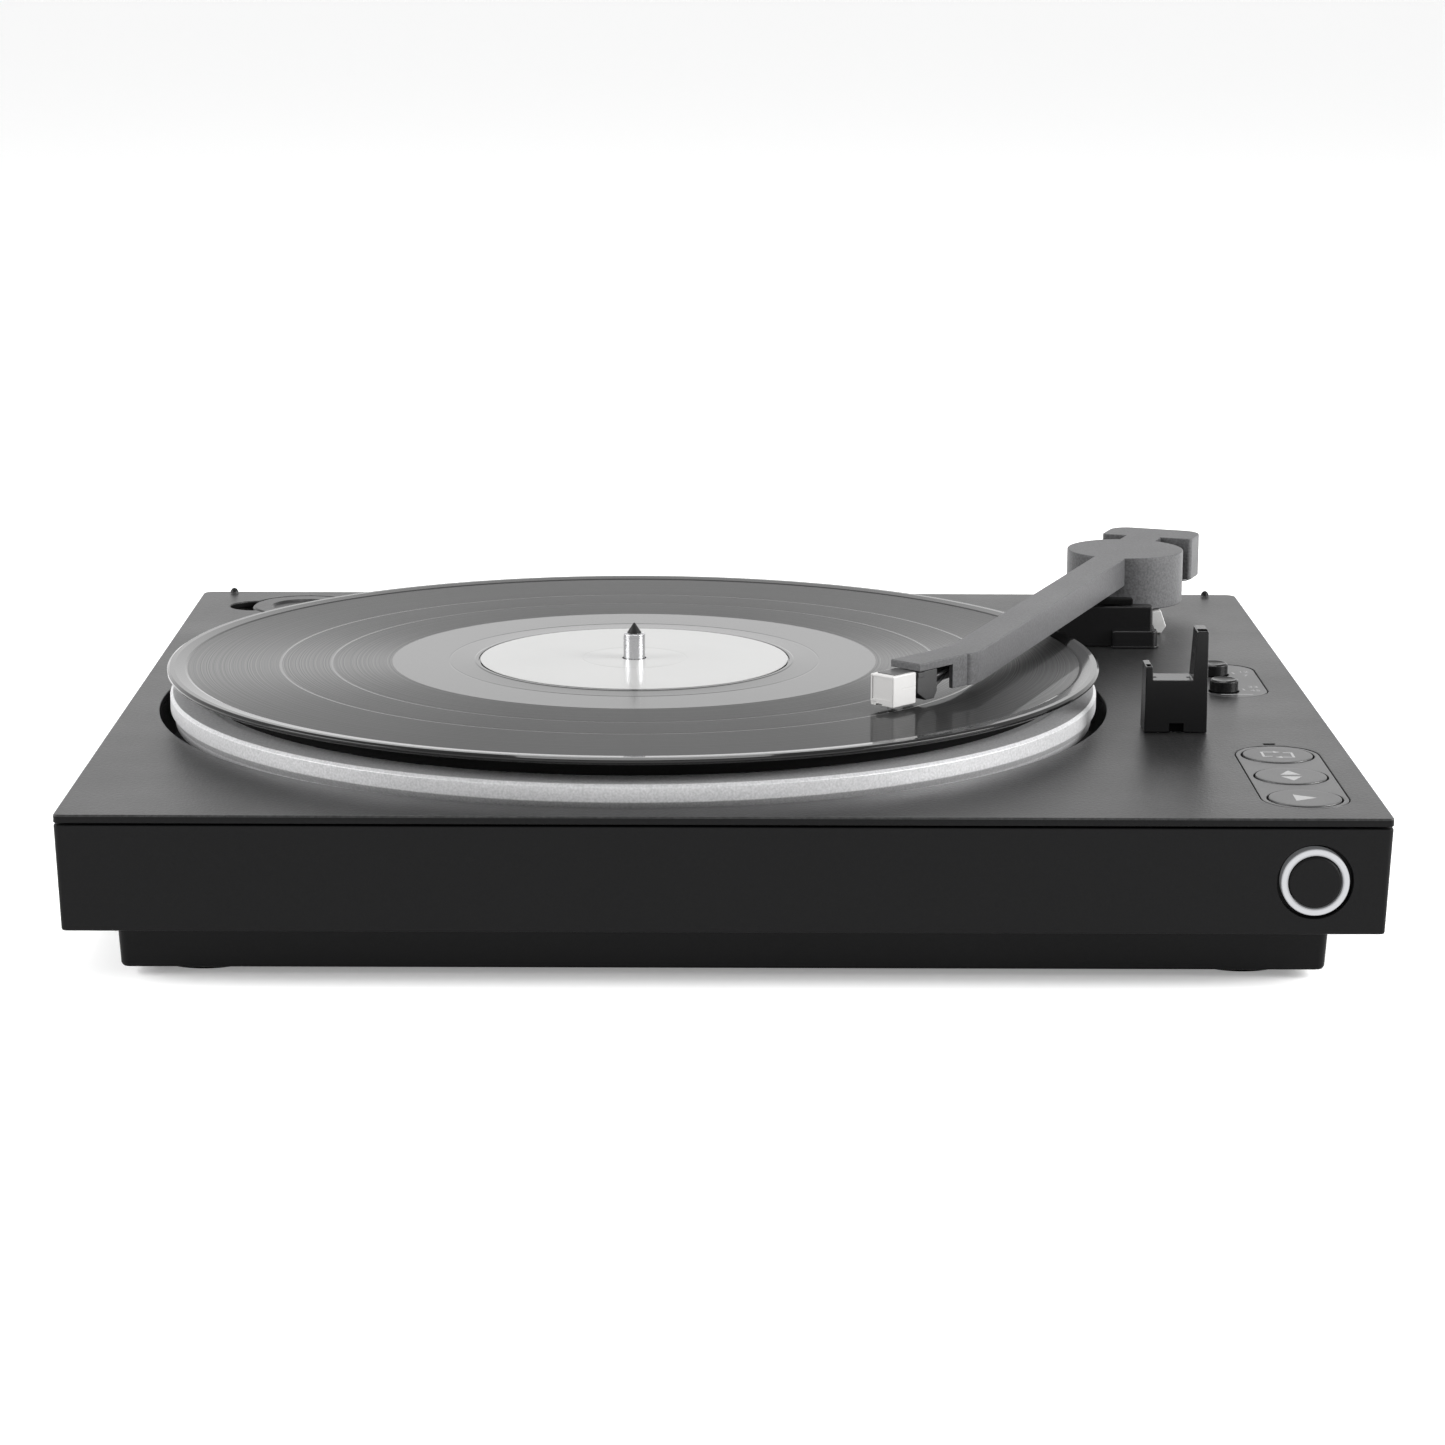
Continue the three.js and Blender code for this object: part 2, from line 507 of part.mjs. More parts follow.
// Plan outline of the arm and its angled headshell, shrunk by inset on every side.
const armOutline = (inset) => {
  const half = HEADSHELL_HALF_WIDTH - inset;
  const right = ARM_RIGHT - inset;
  const left = ARM_LEFT + inset;
  const shape = new THREE.Shape();
  const frontRight = headPoint(HEADSHELL_FRONT - inset, half);
  const frontLeft = headPoint(HEADSHELL_FRONT - inset, -half);
  const bendRight = headPoint(HEADSHELL_BACK + 3, half);
  const bendLeft = headPoint(HEADSHELL_BACK + 5, -half);
  shape.moveTo(12, right);
  shape.lineTo(bendRight[0] - 9, right);
  shape.quadraticCurveTo(bendRight[0] - 1, right, ...bendRight);
  shape.lineTo(...frontRight);
  shape.lineTo(...frontLeft);
  shape.lineTo(...bendLeft);
  shape.quadraticCurveTo(bendLeft[0] - 8, left, bendLeft[0] - 16, left);
  shape.lineTo(12, left);
  return shape;
};

const COVER_ALONG = [-46.5, -28.5];
const COVER_ACROSS = [-16, 17.5];
const COVER_CORNERS = [7, 1.5, 1.5, 7];
const COVER_BOTTOM = 12;

// The moulded arm: drum over the pivot, hollow wand, headshell plate, and the rear weight cover.
const makeArmShell = () => {
  const wand = slab(armOutline(0), ARM_BOTTOM, ARM_TOP, 3);
  const wandHollow = slab(armOutline(ARM_WALL), ARM_BOTTOM - 1, HEADSHELL_UNDERSIDE, 3);
  const frontOpening = headBlock([-18.5, 4], [-9, 9], ARM_BOTTOM - 1, HEADSHELL_UNDERSIDE);
  const sideWindow = headBlock([-24, 4], [0, 9], ARM_BOTTOM - 1, HEADSHELL_UNDERSIDE);
  const drum = rod([0, 0], DRUM_RADIUS, DRUM_BOTTOM, ARM_TOP, 40);
  const drumHollow = rod([0, 0], DRUM_RADIUS - 2, DRUM_BOTTOM - 1, ARM_TOP - 2.2, 32);
  const neck = box([-32, -15], [-7, 6], [ARM_BOTTOM, ARM_TOP]);
  const coverOutline = roundedRectangle(COVER_ALONG, COVER_ACROSS, COVER_CORNERS);
  const cover = slab(coverOutline, COVER_BOTTOM, ARM_TOP, 3);
  const coverHollow = box(
    [COVER_ALONG[0] + 2.5, COVER_ALONG[1] - 2],
    [COVER_ACROSS[0] + 2, COVER_ACROSS[1] - 2],
    [COVER_BOTTOM - 1, ARM_TOP - 2],
  );
  return cut(
    join(cut(wand, wandHollow, frontOpening, sideWindow), drum, neck, cover),
    drumHollow,
    coverHollow,
  );
};
addPiece("arm_shell", makeArmShell(), "arm", armFrame);

const SCREW_CENTRE = [-37.5, 12];
const weight = cut(box([-43.6, -30.9], [-13.6, 15], [14, 21.5]), rod(SCREW_CENTRE, 2.2, 10, 18, 16));
addPiece("counterweight", weight, "black", armFrame);
const screwProfile = [[0, 10.2], [2.9, 10.2], [2.9, 11.6], [1.8, 11.7], [1.8, 17.6], [0, 17.6]];
addPiece("counterweight_screw", turned(screwProfile, 20, SCREW_CENTRE), "steel", armFrame);

const GIMBAL_PIN_RADIUS = 1.2;
const gimbalPin = crossRod([0, GIMBAL_HEIGHT], GIMBAL_PIN_RADIUS, -18.2, 18.2, 16);
addPiece("gimbal_pin", gimbalPin, "steel", armFrame);

const makePivotYoke = () => {
  const base = rod([0, 0], 13.5, 9.8, 12, 20);
  const ears = [-1, 1].map((side) => box([-3.5, 3.5], [side * 11 - 1.5, side * 11 + 1.5], [11, 19]));
  return cut(join(base, ...ears), crossRod([0, GIMBAL_HEIGHT], GIMBAL_PIN_RADIUS + FIT_GAP, -15, 15, 16));
};
addPiece("pivot_yoke", makePivotYoke(), "black", armFrame);
addPiece("pivot_shaft", rod([0, 0], 4, -23, 9.5, 16), "steel", armFrame);
const tripPlate = slab(roundedRectangle([-8, 24], [-8, 8], [3, 3, 3, 3]), -25.4, -23.3, 4);
addPiece("trip_plate", tripPlate, "steel", armFrame);

// The cartridge hangs from the headshell plate; the white stylus holder plugs onto its front.
const cartridge = cut(
  join(headBlock([-18, -8.4], [-4.6, 4.6], 15, 24.4), headBlock([-15, -11], [-3, 3], 24, 24.6)),
  headBlock([-10.2, -8], [-5, 5], 14, 17.2),
);
addPiece("cartridge_body", cartridge, "black", armFrame);
const holder = cut(
  headBlock([-7.9, 3.1], [-4.6, 4.6], 14.9, 24.6),
  headBlock([1.2, 4], [-5, -1.2], 14, 16.2),
  headBlock([-4.6, 2.4], [-1.1, 1.1], 14, 18.5),
);
addPiece("stylus_holder", holder, "white", armFrame);

const makeStylus = () => {
  const rear = new THREE.Vector3(...headPoint(-4, 0), 17.4);
  const front = new THREE.Vector3(...headPoint(0.3, 0), 14.9);
  const path = new THREE.LineCurve3(rear, front);
  const section = outline([[0.4, 0.4], [-0.4, 0.4], [-0.4, -0.4], [0.4, -0.4]]);
  const cantilever = toSolid(new THREE.ExtrudeGeometry(section, { steps: 1, extrudePath: path }));
  const tip = turned([[0, STYLUS_TIP], [0.35, 14.6], [0.35, 15.1], [0, 15.1]], 8, headPoint(0, 0));
  return join(cantilever, tip);
};
addPiece("stylus", makeStylus(), "steel", armFrame);

const makeLead = () => {
  const places = [[-18.3, 1.2, 21.5], [-20.5, 1.4, 21.9], [-23.5, 1.2, 22.4], [-27, 0.4, 22.8], [-31, 0, 23]];
  const points = places.map(([ahead, right, z]) => new THREE.Vector3(...headPoint(ahead, right), z));
  const section = outline(Array.from({ length: 8 }, (_, i) => polar([0, 0], 1.1, (i * Math.PI) / 4)));
  const extrudePath = new THREE.CatmullRomCurve3(points);
  return toSolid(new THREE.ExtrudeGeometry(section, { steps: 8, extrudePath }));
};
addPiece("cartridge_leads", makeLead(), "black", armFrame);

// ---- arm base, lifter and rest ------------------------------------------------------------------
const armBase = cut(
  slab(roundedRectangle([122, 152.5], [87, 148], [3, 3, 8, 8]), FIT_GAP, 5),
  rod(ARM_PIVOT, 4.6, -1, 8, 24),
);
addPiece("arm_base", armBase, "black");

const LIFTER_X = [108, 150.4];
const LIFTER_Y = [76, 82.5];
const lifterHousing = cut(
  join(
    slab(roundedRectangle(LIFTER_X, LIFTER_Y, [1, 1, 2, 2]), FIT_GAP, 14.2, 3),
    slab(roundedRectangle([136.2, 152], [73, 80], [0.8, 2.2, 2.2, 0.8]), FIT_GAP, 6.1, 4),
  ),
  rod(LIFT_ROD.centre, LIFT_ROD.radius + FIT_GAP, -1, 16, 12),
);
addPiece("lifter_housing", lifterHousing, "black");
addPiece("lift_bar", box([109.5, 143.5], [77, 81.5], [14.6, 16.7]), "rubber");
addPiece("lift_rod", rod(LIFT_ROD.centre, LIFT_ROD.radius, -14, 14.3, 12), "steel");

const STOP_Y = [100, 106];
const stopProfile = outline([[152.8, FIT_GAP], [156.2, FIT_GAP], [157.9, 2.8], [155.9, 8.4], [152.8, 7.9]]);
const armStop = slab(stopProfile, 0, STOP_Y[1] - STOP_Y[0]).rotate([90, 0, 0]).translate([0, STOP_Y[1], 0]);
addPiece("arm_stop", armStop, "pale");

const REST_X = [132.4, 152.1];
const REST_Y = [-64.4, -53];
const REST_SEAT = 17;
const REST_TOP = 32.6;
const REST_INNER_TOP = 21.3;
const makeArmRest = () => {
  const profile = outline([
    [REST_X[0], FIT_GAP], [REST_X[1], FIT_GAP], [REST_X[1], REST_TOP], [148.4, REST_TOP], [147.4, REST_SEAT],
    [134.9, REST_SEAT], [134.6, REST_INNER_TOP], [REST_X[0] + 0.2, REST_INNER_TOP],
  ]);
  const body = slab(profile, 0, REST_Y[1] - REST_Y[0]).rotate([90, 0, 0]).translate([0, REST_Y[1], 0]);
  const keyhole = box([140.3, 144.5], [REST_Y[0] - 1, REST_Y[0] + 2], [-1, 2.9]);
  const clipSlot = box([149.2, REST_X[1] + 1], [REST_Y[0] - 1, REST_Y[0] + 3], [REST_TOP - 2.4, REST_TOP - 1.2]);
  return cut(body, keyhole, clipSlot);
};
addPiece("arm_rest", makeArmRest(), "black");

const adapterProfile = [
  [3.8, -3.7], [ADAPTER_RADIUS, -3.7], [ADAPTER_RADIUS, -0.6], [ADAPTER_RADIUS - 0.8, 0.1],
  [12, 0.1], [11.2, -0.7], [3.8, -0.7],
];
addPiece("adapter_45", turned(adapterProfile, 32, ADAPTER_CENTRE), "black");

// ---- controls -----------------------------------------------------------------------------------
const makePanel = (x, ends, radius, holes) => {
  const plate = slab(stadium(x, ends, radius - FIT_GAP), -DECK_THICKNESS, -0.2, 7);
  return cut(plate, ...holes.map(([centre, holeRadius]) => rod(centre, holeRadius, -5, 1, 24)));
};
const buttonHoles = buttonRows.map((y) => [[BUTTON_X, y], BUTTON_HOLE_RADIUS]);
addPiece("button_panel", makePanel(BUTTON_X, buttonPanelEnds, BUTTON_PANEL_RADIUS, buttonHoles), "black");
for (const [name, y] of Object.entries(BUTTON_ROWS)) {
  const profile = [
    [0, -5.6], [2, -5.6], [2, -3.2], [BUTTON_RADIUS, -3.2],
    [BUTTON_RADIUS, -0.3], [BUTTON_RADIUS - 0.5, 0.2], [0, 0.2],
  ];
  addPiece(name, turned(profile, 28, [BUTTON_X, y]), "black");
}
const selectorHoles = Object.values(SELECTOR_ROWS).map((y) => [[SELECTOR_X, y], SELECTOR_RADIUS + 0.4]);
const selectorPanel = makePanel(SELECTOR_PANEL.x, SELECTOR_PANEL.y, SELECTOR_PANEL.radius, selectorHoles);
addPiece("selector_panel", selectorPanel, "black");
for (const [name, y] of Object.entries(SELECTOR_ROWS)) {
  const profile = [
    [0, -8.5], [SELECTOR_RADIUS, -8.5], [SELECTOR_RADIUS, 3.5],
    [SELECTOR_RADIUS - 0.5, 4], [3.4, 4], [3, 3.6], [0, 3.6],
  ];
  addPiece(name, turned(profile, 20, [SELECTOR_X, y]), "black");
}
const selectorBody = box([SELECTOR_X - 8, SELECTOR_X + 8], [-7, 38], [-20, -11.5]);
addPiece("selector_switch_body", selectorBody, "body");

const buttonBoard = box([BUTTON_X - 12, BUTTON_X + 12], [-163, -82], [-9, -7.4]);
addPiece("button_board", buttonBoard, "board");
addPiece("status_light", box(STATUS_LIGHT.x, STATUS_LIGHT.y, [-3.2, 0.05]), "glow");

const POWER_FRONT = -HALF_DEPTH + 0.15;
addPiece("power_button", crossRod(POWER_CENTRE, POWER_RADIUS, POWER_FRONT, POWER_FRONT + 6, 32), "black");
const lightRing = cut(
  crossRod(POWER_CENTRE, 9.9, POWER_FRONT + 0.1, POWER_FRONT + 4, 32),
  crossRod(POWER_CENTRE, POWER_RADIUS + FIT_GAP, POWER_FRONT - 1, POWER_FRONT + 6, 32),
);
addPiece("light_ring", lightRing, "glow");
const powerSwitch = cut(
  box([POWER_CENTRE[0] - 13, POWER_CENTRE[0] + 13], [POWER_FRONT + 4.3, POWER_FRONT + 13], [-31, -9.4]),
  crossRod(POWER_CENTRE, POWER_RADIUS + FIT_GAP, POWER_FRONT, POWER_FRONT + 8, 24),
);
addPiece("power_switch_body", powerSwitch, "body");

// ---- boards and sockets -------------------------------------------------------------------------
const mainBoard = box(MAIN_BOARD.x, MAIN_BOARD.y, [BOARD_BOTTOM, BOARD_BOTTOM + 1.6]);
addPiece("main_board", mainBoard, "board");
for (const [name, x] of Object.entries(JACKS)) {
  const socket = join(
    crossRod([x, SOCKET_HEIGHT], RCA_RADIUS, TRAY_REAR - 9, TRAY_REAR + 1, 16),
    crossRod([x, SOCKET_HEIGHT], 4.2, TRAY_REAR, TRAY_REAR + 9, 16),
  );
  addPiece(name, cut(socket, crossRod([x, SOCKET_HEIGHT], 1.6, TRAY_REAR + 1, TRAY_REAR + 10, 12)), "silver");
}
const dcJack = cut(
  join(
    crossRod([DC_JACK_X, SOCKET_HEIGHT], DC_JACK_RADIUS, TRAY_REAR - 9, TRAY_REAR + 0.5, 16),
    box([DC_JACK_X - 6, DC_JACK_X + 6], [TRAY_REAR - 16, TRAY_REAR - 8], [-46.5, -37.5]),
  ),
  crossRod([DC_JACK_X, SOCKET_HEIGHT], 2.75, TRAY_REAR - 8, TRAY_REAR + 2, 16),
);
const dcPin = crossRod([DC_JACK_X, SOCKET_HEIGHT], 1, TRAY_REAR - 10, TRAY_REAR - 0.5, 10);
addPiece("dc_jack", join(dcJack, dcPin), "black");
const outputSwitch = box([SWITCH_X - 3.6, SWITCH_X - 0.4], [TRAY_REAR - 5, TRAY_REAR + 1], [-44, -40]);
addPiece("output_switch", outputSwitch, "black");

export default player;
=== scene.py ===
import json
import math

import bmesh
import bpy
from mathutils import Matrix, Vector
from mathutils.geometry import tessellate_polygon


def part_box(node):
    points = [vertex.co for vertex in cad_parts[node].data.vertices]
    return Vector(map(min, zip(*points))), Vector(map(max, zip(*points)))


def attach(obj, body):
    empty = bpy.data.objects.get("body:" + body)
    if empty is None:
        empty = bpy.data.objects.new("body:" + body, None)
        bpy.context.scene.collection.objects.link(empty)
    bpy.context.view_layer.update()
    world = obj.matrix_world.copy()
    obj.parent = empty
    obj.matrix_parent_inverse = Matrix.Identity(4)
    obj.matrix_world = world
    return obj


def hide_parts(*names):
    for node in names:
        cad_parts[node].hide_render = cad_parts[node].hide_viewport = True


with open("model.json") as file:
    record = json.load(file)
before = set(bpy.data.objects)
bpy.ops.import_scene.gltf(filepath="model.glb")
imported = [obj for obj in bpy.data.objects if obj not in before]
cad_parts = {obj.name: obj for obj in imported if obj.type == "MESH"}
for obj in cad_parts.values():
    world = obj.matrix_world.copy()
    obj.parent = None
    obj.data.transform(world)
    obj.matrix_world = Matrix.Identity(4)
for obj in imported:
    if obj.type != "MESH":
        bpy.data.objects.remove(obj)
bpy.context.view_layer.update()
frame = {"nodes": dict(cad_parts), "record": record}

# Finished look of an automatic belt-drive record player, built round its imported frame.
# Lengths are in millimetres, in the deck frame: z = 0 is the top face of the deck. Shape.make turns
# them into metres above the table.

MM = 0.001
DECK_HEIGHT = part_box("top_plate")[1].z / MM
BODIES = frame["record"]["behaviour"]["bodies"]
BODY_OF = {node: body for body, nodes in BODIES.items() for node in nodes}
SLOT_OF = {part["node"]: part["material_slot"] for part in frame["record"]["subparts"]}
JOINTS = {joint["name"]: joint for joint in frame["record"]["behaviour"]["joints"]}


def limits(node):
    """The lowest and highest corner of a CAD node, in the deck frame."""
    drop = Vector((0, 0, DECK_HEIGHT))
    return tuple(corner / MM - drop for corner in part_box(node))


def middle(node):
    low, high = limits(node)
    return (low + high) / 2


def centre_of(node):
    """The middle of a round node, at the height of the table, for a piece drawn about its own axis."""
    flat = middle(node)
    return Vector((flat.x, flat.y, 0))


def add_object(name, data):
    """A new object, linked to the scene."""
    added = bpy.data.objects.new(name, data)
    bpy.context.scene.collection.objects.link(added)
    return added


# ---- outlines: lists of flat points ----------------------


def arc(centre, radius, start, end, steps):
    angles = [start + (end - start) * i / steps for i in range(steps + 1)]
    return [Vector((centre[0] + radius * math.cos(a), centre[1] + radius * math.sin(a))) for a in angles]


def circle(centre, radius, steps=96):
    return arc(centre, radius, 0, 2 * math.pi, steps)[:-1]


def round_corner(before, corner, after, radius, steps):
    """The arc of that radius that replaces a corner between two straight edges."""
    to_before = (before - corner).normalized()
    to_after = (after - corner).normalized()
    half = to_before.angle(to_after) / 2
    room = 0.49 * min((before - corner).length, (after - corner).length)
    reach = min(radius / math.tan(half), room)
    centre = corner + (to_before + to_after).normalized() * (reach / math.cos(half))
    first = corner + to_before * reach - centre
    last = corner + to_after * reach - centre
    turn = math.atan2(first.cross(last), first.dot(last))
    return [centre + Matrix.Rotation(turn * i / steps, 2) @ first for i in range(steps + 1)]


def rounded(points, steps=5, closed=True):
    """An outline whose corners are (x, y) or, where they are rounded, (x, y, radius)."""
    flat = [Vector(point[:2]) for point in points]
    result = []
    for i, point in enumerate(points):
        open_end = not closed and i in (0, len(points) - 1)
        if len(point) == 2 or point[2] == 0 or open_end:
            result.append(flat[i])
        else:
            after = flat[(i + 1) % len(flat)]
            result += round_corner(flat[i - 1], flat[i], after, point[2], steps)
    return result


def rectangle(x, y, radii=(0, 0, 0, 0), steps=6):
    """Corners in the order front left, front right, rear right, rear left."""
    places = [(x[0], y[0]), (x[1], y[0]), (x[1], y[1]), (x[0], y[1])]
    return rounded([(*place, radius) for place, radius in zip(places, radii)], steps)


def stadium(x, ends, radius, steps=40):
    low, high = ends
    return arc((x, low), radius, math.pi, 2 * math.pi, steps) + arc((x, high), radius, 0, math.pi, steps)


def joined_circles(first, first_radius, second, second_radius, bite=False, steps=48):
    """The outline round two overlapping circles, or the first circle with the second bitten out."""
    away = Vector(second) - Vector(first)
    gap = away.length
    toward = math.atan2(away.y, away.x)
    reach = (gap**2 + first_radius**2 - second_radius**2) / (2 * gap)
    half = math.acos(reach / first_radius)
    other = math.acos((gap - reach) / second_radius)
    start, end = toward + half, toward - half + 2 * math.pi
    main = arc(first, first_radius, start, end, steps)
    if bite:
        side = arc(second, second_radius, toward + math.pi + other, toward + math.pi - other, steps // 2)
    else:
        side = arc(second, second_radius, toward + math.pi + other, toward + 3 * math.pi - other, steps // 2)
    return main + side[1:-1]


def curve(start, control, end, steps=8):
    """Points of a quadratic curve from start to end."""
    points = []
    for i in range(steps + 1):
        t = i / steps
        points.append(start * (1 - t) ** 2 + control * 2 * t * (1 - t) + end * t**2)
    return points


def signed_area(points):
    return sum(a.cross(b) for a, b in zip(points, points[1:] + points[:1])) / 2


def inset(points, distance):
    """Each point moved to the left of the direction of travel, so that its edges move by distance."""
    moved = []
    for i, point in enumerate(points):
        along = (point - points[i - 1]).normalized()
        onward = (points[(i + 1) % len(points)] - point).normalized()
        normal = Vector((-along.y, along.x))
        next_normal = Vector((-onward.y, onward.x))
        share = max(1 + normal.dot(next_normal), 0.4)
        moved.append(point + (normal + next_normal) * (distance / share))
    return moved


# ---- solids ----------------------------------------------

IDENTITY = Matrix.Identity(4)
UPRIGHT = Matrix.Rotation(math.pi / 2, 4, "X")


def along_y(x, z):
    """Places a shape made about the vertical axis so that its axis runs towards +Y."""
    return Matrix.Translation((x, 0, z)) @ Matrix.Rotation(-math.pi / 2, 4, "X")


class Shape:
    """Closed solids gathered into one mesh."""

    def __init__(self, place=None):
        self.mesh = bmesh.new()
        self.place = place or IDENTITY

    def ring(self, points, place=IDENTITY):
        return [self.mesh.verts.new(self.place @ place @ Vector(point)) for point in points]

    def bridge(self, first, second):
        for i in range(len(first)):
            j = (i + 1) % len(first)
            self.mesh.faces.new((first[i], first[j], second[j], second[i]))

    def loft(self, rings, closed=False):
        """Rings of 3-D points joined in turn, and closed on themselves or capped at both ends."""
        loops = [self.ring(points) for points in rings]
        for first, second in zip(loops, loops[1:]):
            self.bridge(first, second)
        if closed:
            self.bridge(loops[-1], loops[0])
        else:
            self.mesh.faces.new(loops[0])
            self.mesh.faces.new(loops[-1])
        return self

    def slab(self, outline, z0, z1, edges=(0.3, 0.3), holes=(), steps=3, place=IDENTITY):
        """A flat outline with holes, raised from z0 to z1, its lower and upper edges rounded."""
        outlines = [outline if signed_area(outline) > 0 else outline[::-1]]
        outlines += [hole if signed_area(hole) < 0 else hole[::-1] for hole in holes]
        levels = []
        for i in range(steps + 1):
            angle = math.pi / 2 * i / steps
            levels.append((edges[0] * (1 - math.sin(angle)), z0 + edges[0] * (1 - math.cos(angle))))
            if edges[0] == 0:
                break
        for i in range(steps + 1):
            angle = math.pi / 2 * i / steps
            levels.append((edges[1] * (1 - math.cos(angle)), z1 - edges[1] * (1 - math.sin(angle))))
            if edges[1] == 0:
                break
        bottom, top = [], []
        for points in outlines:
            loops = [self.ring([(*p, z) for p in inset(points, shift)], place) for shift, z in levels]
            for first, second in zip(loops, loops[1:]):
                self.bridge(first, second)
            bottom.append(loops[0])
            top.append(loops[-1])
        for loops, away in ((bottom, levels[0][0]), (top, levels[-1][0])):
            flat = [[Vector((*p, 0)) for p in inset(points, away)] for points in outlines]
            verts = [vert for loop in loops for vert in loop]
            for triangle in tessellate_polygon(flat):
                corners = [verts[i] for i in triangle]
                if len(set(corners)) == 3:
                    self.mesh.faces.new(corners)
        return self

    def turned(self, profile, centre=(0, 0), steps=96, place=IDENTITY):
        """A profile of (radius, height), with an optional corner radius, turned about an axis.

        It is closed on itself, unless it starts and ends on the axis."""
        solid = profile[0][0] == 0
        points = rounded(profile, closed=not solid)
        loops = []
        for radius, height in points:
            if radius < 1e-6:
                loops.append(self.ring([(*centre, height)], place))
            else:
                loops.append(self.ring([(*p, height) for p in circle(centre, radius, steps)], place))
        pairs = list(zip(loops, loops[1:])) + ([] if solid else [(loops[-1], loops[0])])
        for first, second in pairs:
            if len(first) == len(second):
                self.bridge(first, second)
            else:
                pole, loop = sorted((first, second), key=len)
                for i in range(steps):
                    self.mesh.faces.new((pole[0], loop[i], loop[(i + 1) % steps]))
        return self

    def box(self, x, y, z, edge):
        return self.slab(rectangle(x, y, (edge * 1.2,) * 4, 3), *z, (edge, edge))

    def tube(self, points, radius, sides=12):
        """A round bar along a list of points."""
        rings = []
        for i, point in enumerate(points):
            ahead = points[min(i + 1, len(points) - 1)] - points[max(i - 1, 0)]
            across = ahead.cross(Vector((0, 0, 1))).normalized()
            up = across.cross(ahead).normalized()
            spokes = [(math.cos(a), math.sin(a)) for a in (2 * math.pi * k / sides for k in range(sides))]
            rings.append([point + (across * c + up * s) * radius for c, s in spokes])
        return self.loft(rings)

    def object(self, name):
        bmesh.ops.remove_doubles(self.mesh, verts=self.mesh.verts, dist=1e-5)
        bmesh.ops.recalc_face_normals(self.mesh, faces=self.mesh.faces)
        data = bpy.data.meshes.new(name)
        self.mesh.to_mesh(data)
        self.mesh.free()
        return add_object(name, data)

    def make(self, name, look, *nodes, body=None, slot=None, cutters=(), origin=None, crease=32):
        """Turns the solids into a finished piece that stands for nodes and rides on their body."""
        piece = self.object(name)
        for cutter in cutters:
            carve(piece, cutter)
        shift = Vector((0, 0, DECK_HEIGHT)) - (origin or Vector())
        piece.data.transform(Matrix.Scale(MM, 4) @ Matrix.Translation(shift))
        if origin:
            piece.location = origin * MM
        shade(piece, crease)
        piece.data.materials.clear()
        piece.data.materials.append(LOOKS[look])
        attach(piece, body or BODY_OF[nodes[0]])
        if nodes:
            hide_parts(*nodes)
        return piece


def shade(piece, crease):
    """Smooth shading, with the edges that bend by more than crease degrees kept sharp."""
    mesh = bmesh.new()
    mesh.from_mesh(piece.data)
    for face in mesh.faces:
        face.smooth = True
    for edge in mesh.edges:
        edge.smooth = len(edge.link_faces) == 2 and edge.calc_face_angle() < math.radians(crease)
    mesh.to_mesh(piece.data)
    mesh.free()
    weighted = piece.modifiers.new("weighted_normals", "WEIGHTED_NORMAL")
    weighted.keep_sharp = True


def carve(piece, cutter):
    """Cuts one closed shape out of a piece, and removes the cutter."""
    tool = cutter.object("cutter")
    cut = piece.modifiers.new("cut", "BOOLEAN")
    cut.operation = "DIFFERENCE"
    cut.solver = "EXACT"
    cut.object = tool
    depsgraph = bpy.context.evaluated_depsgraph_get()
    data = bpy.data.meshes.new_from_object(piece.evaluated_get(depsgraph))
    piece.modifiers.remove(cut)
    piece.data = data
    bpy.data.objects.remove(tool)


# ---- materials -------------------------------------------


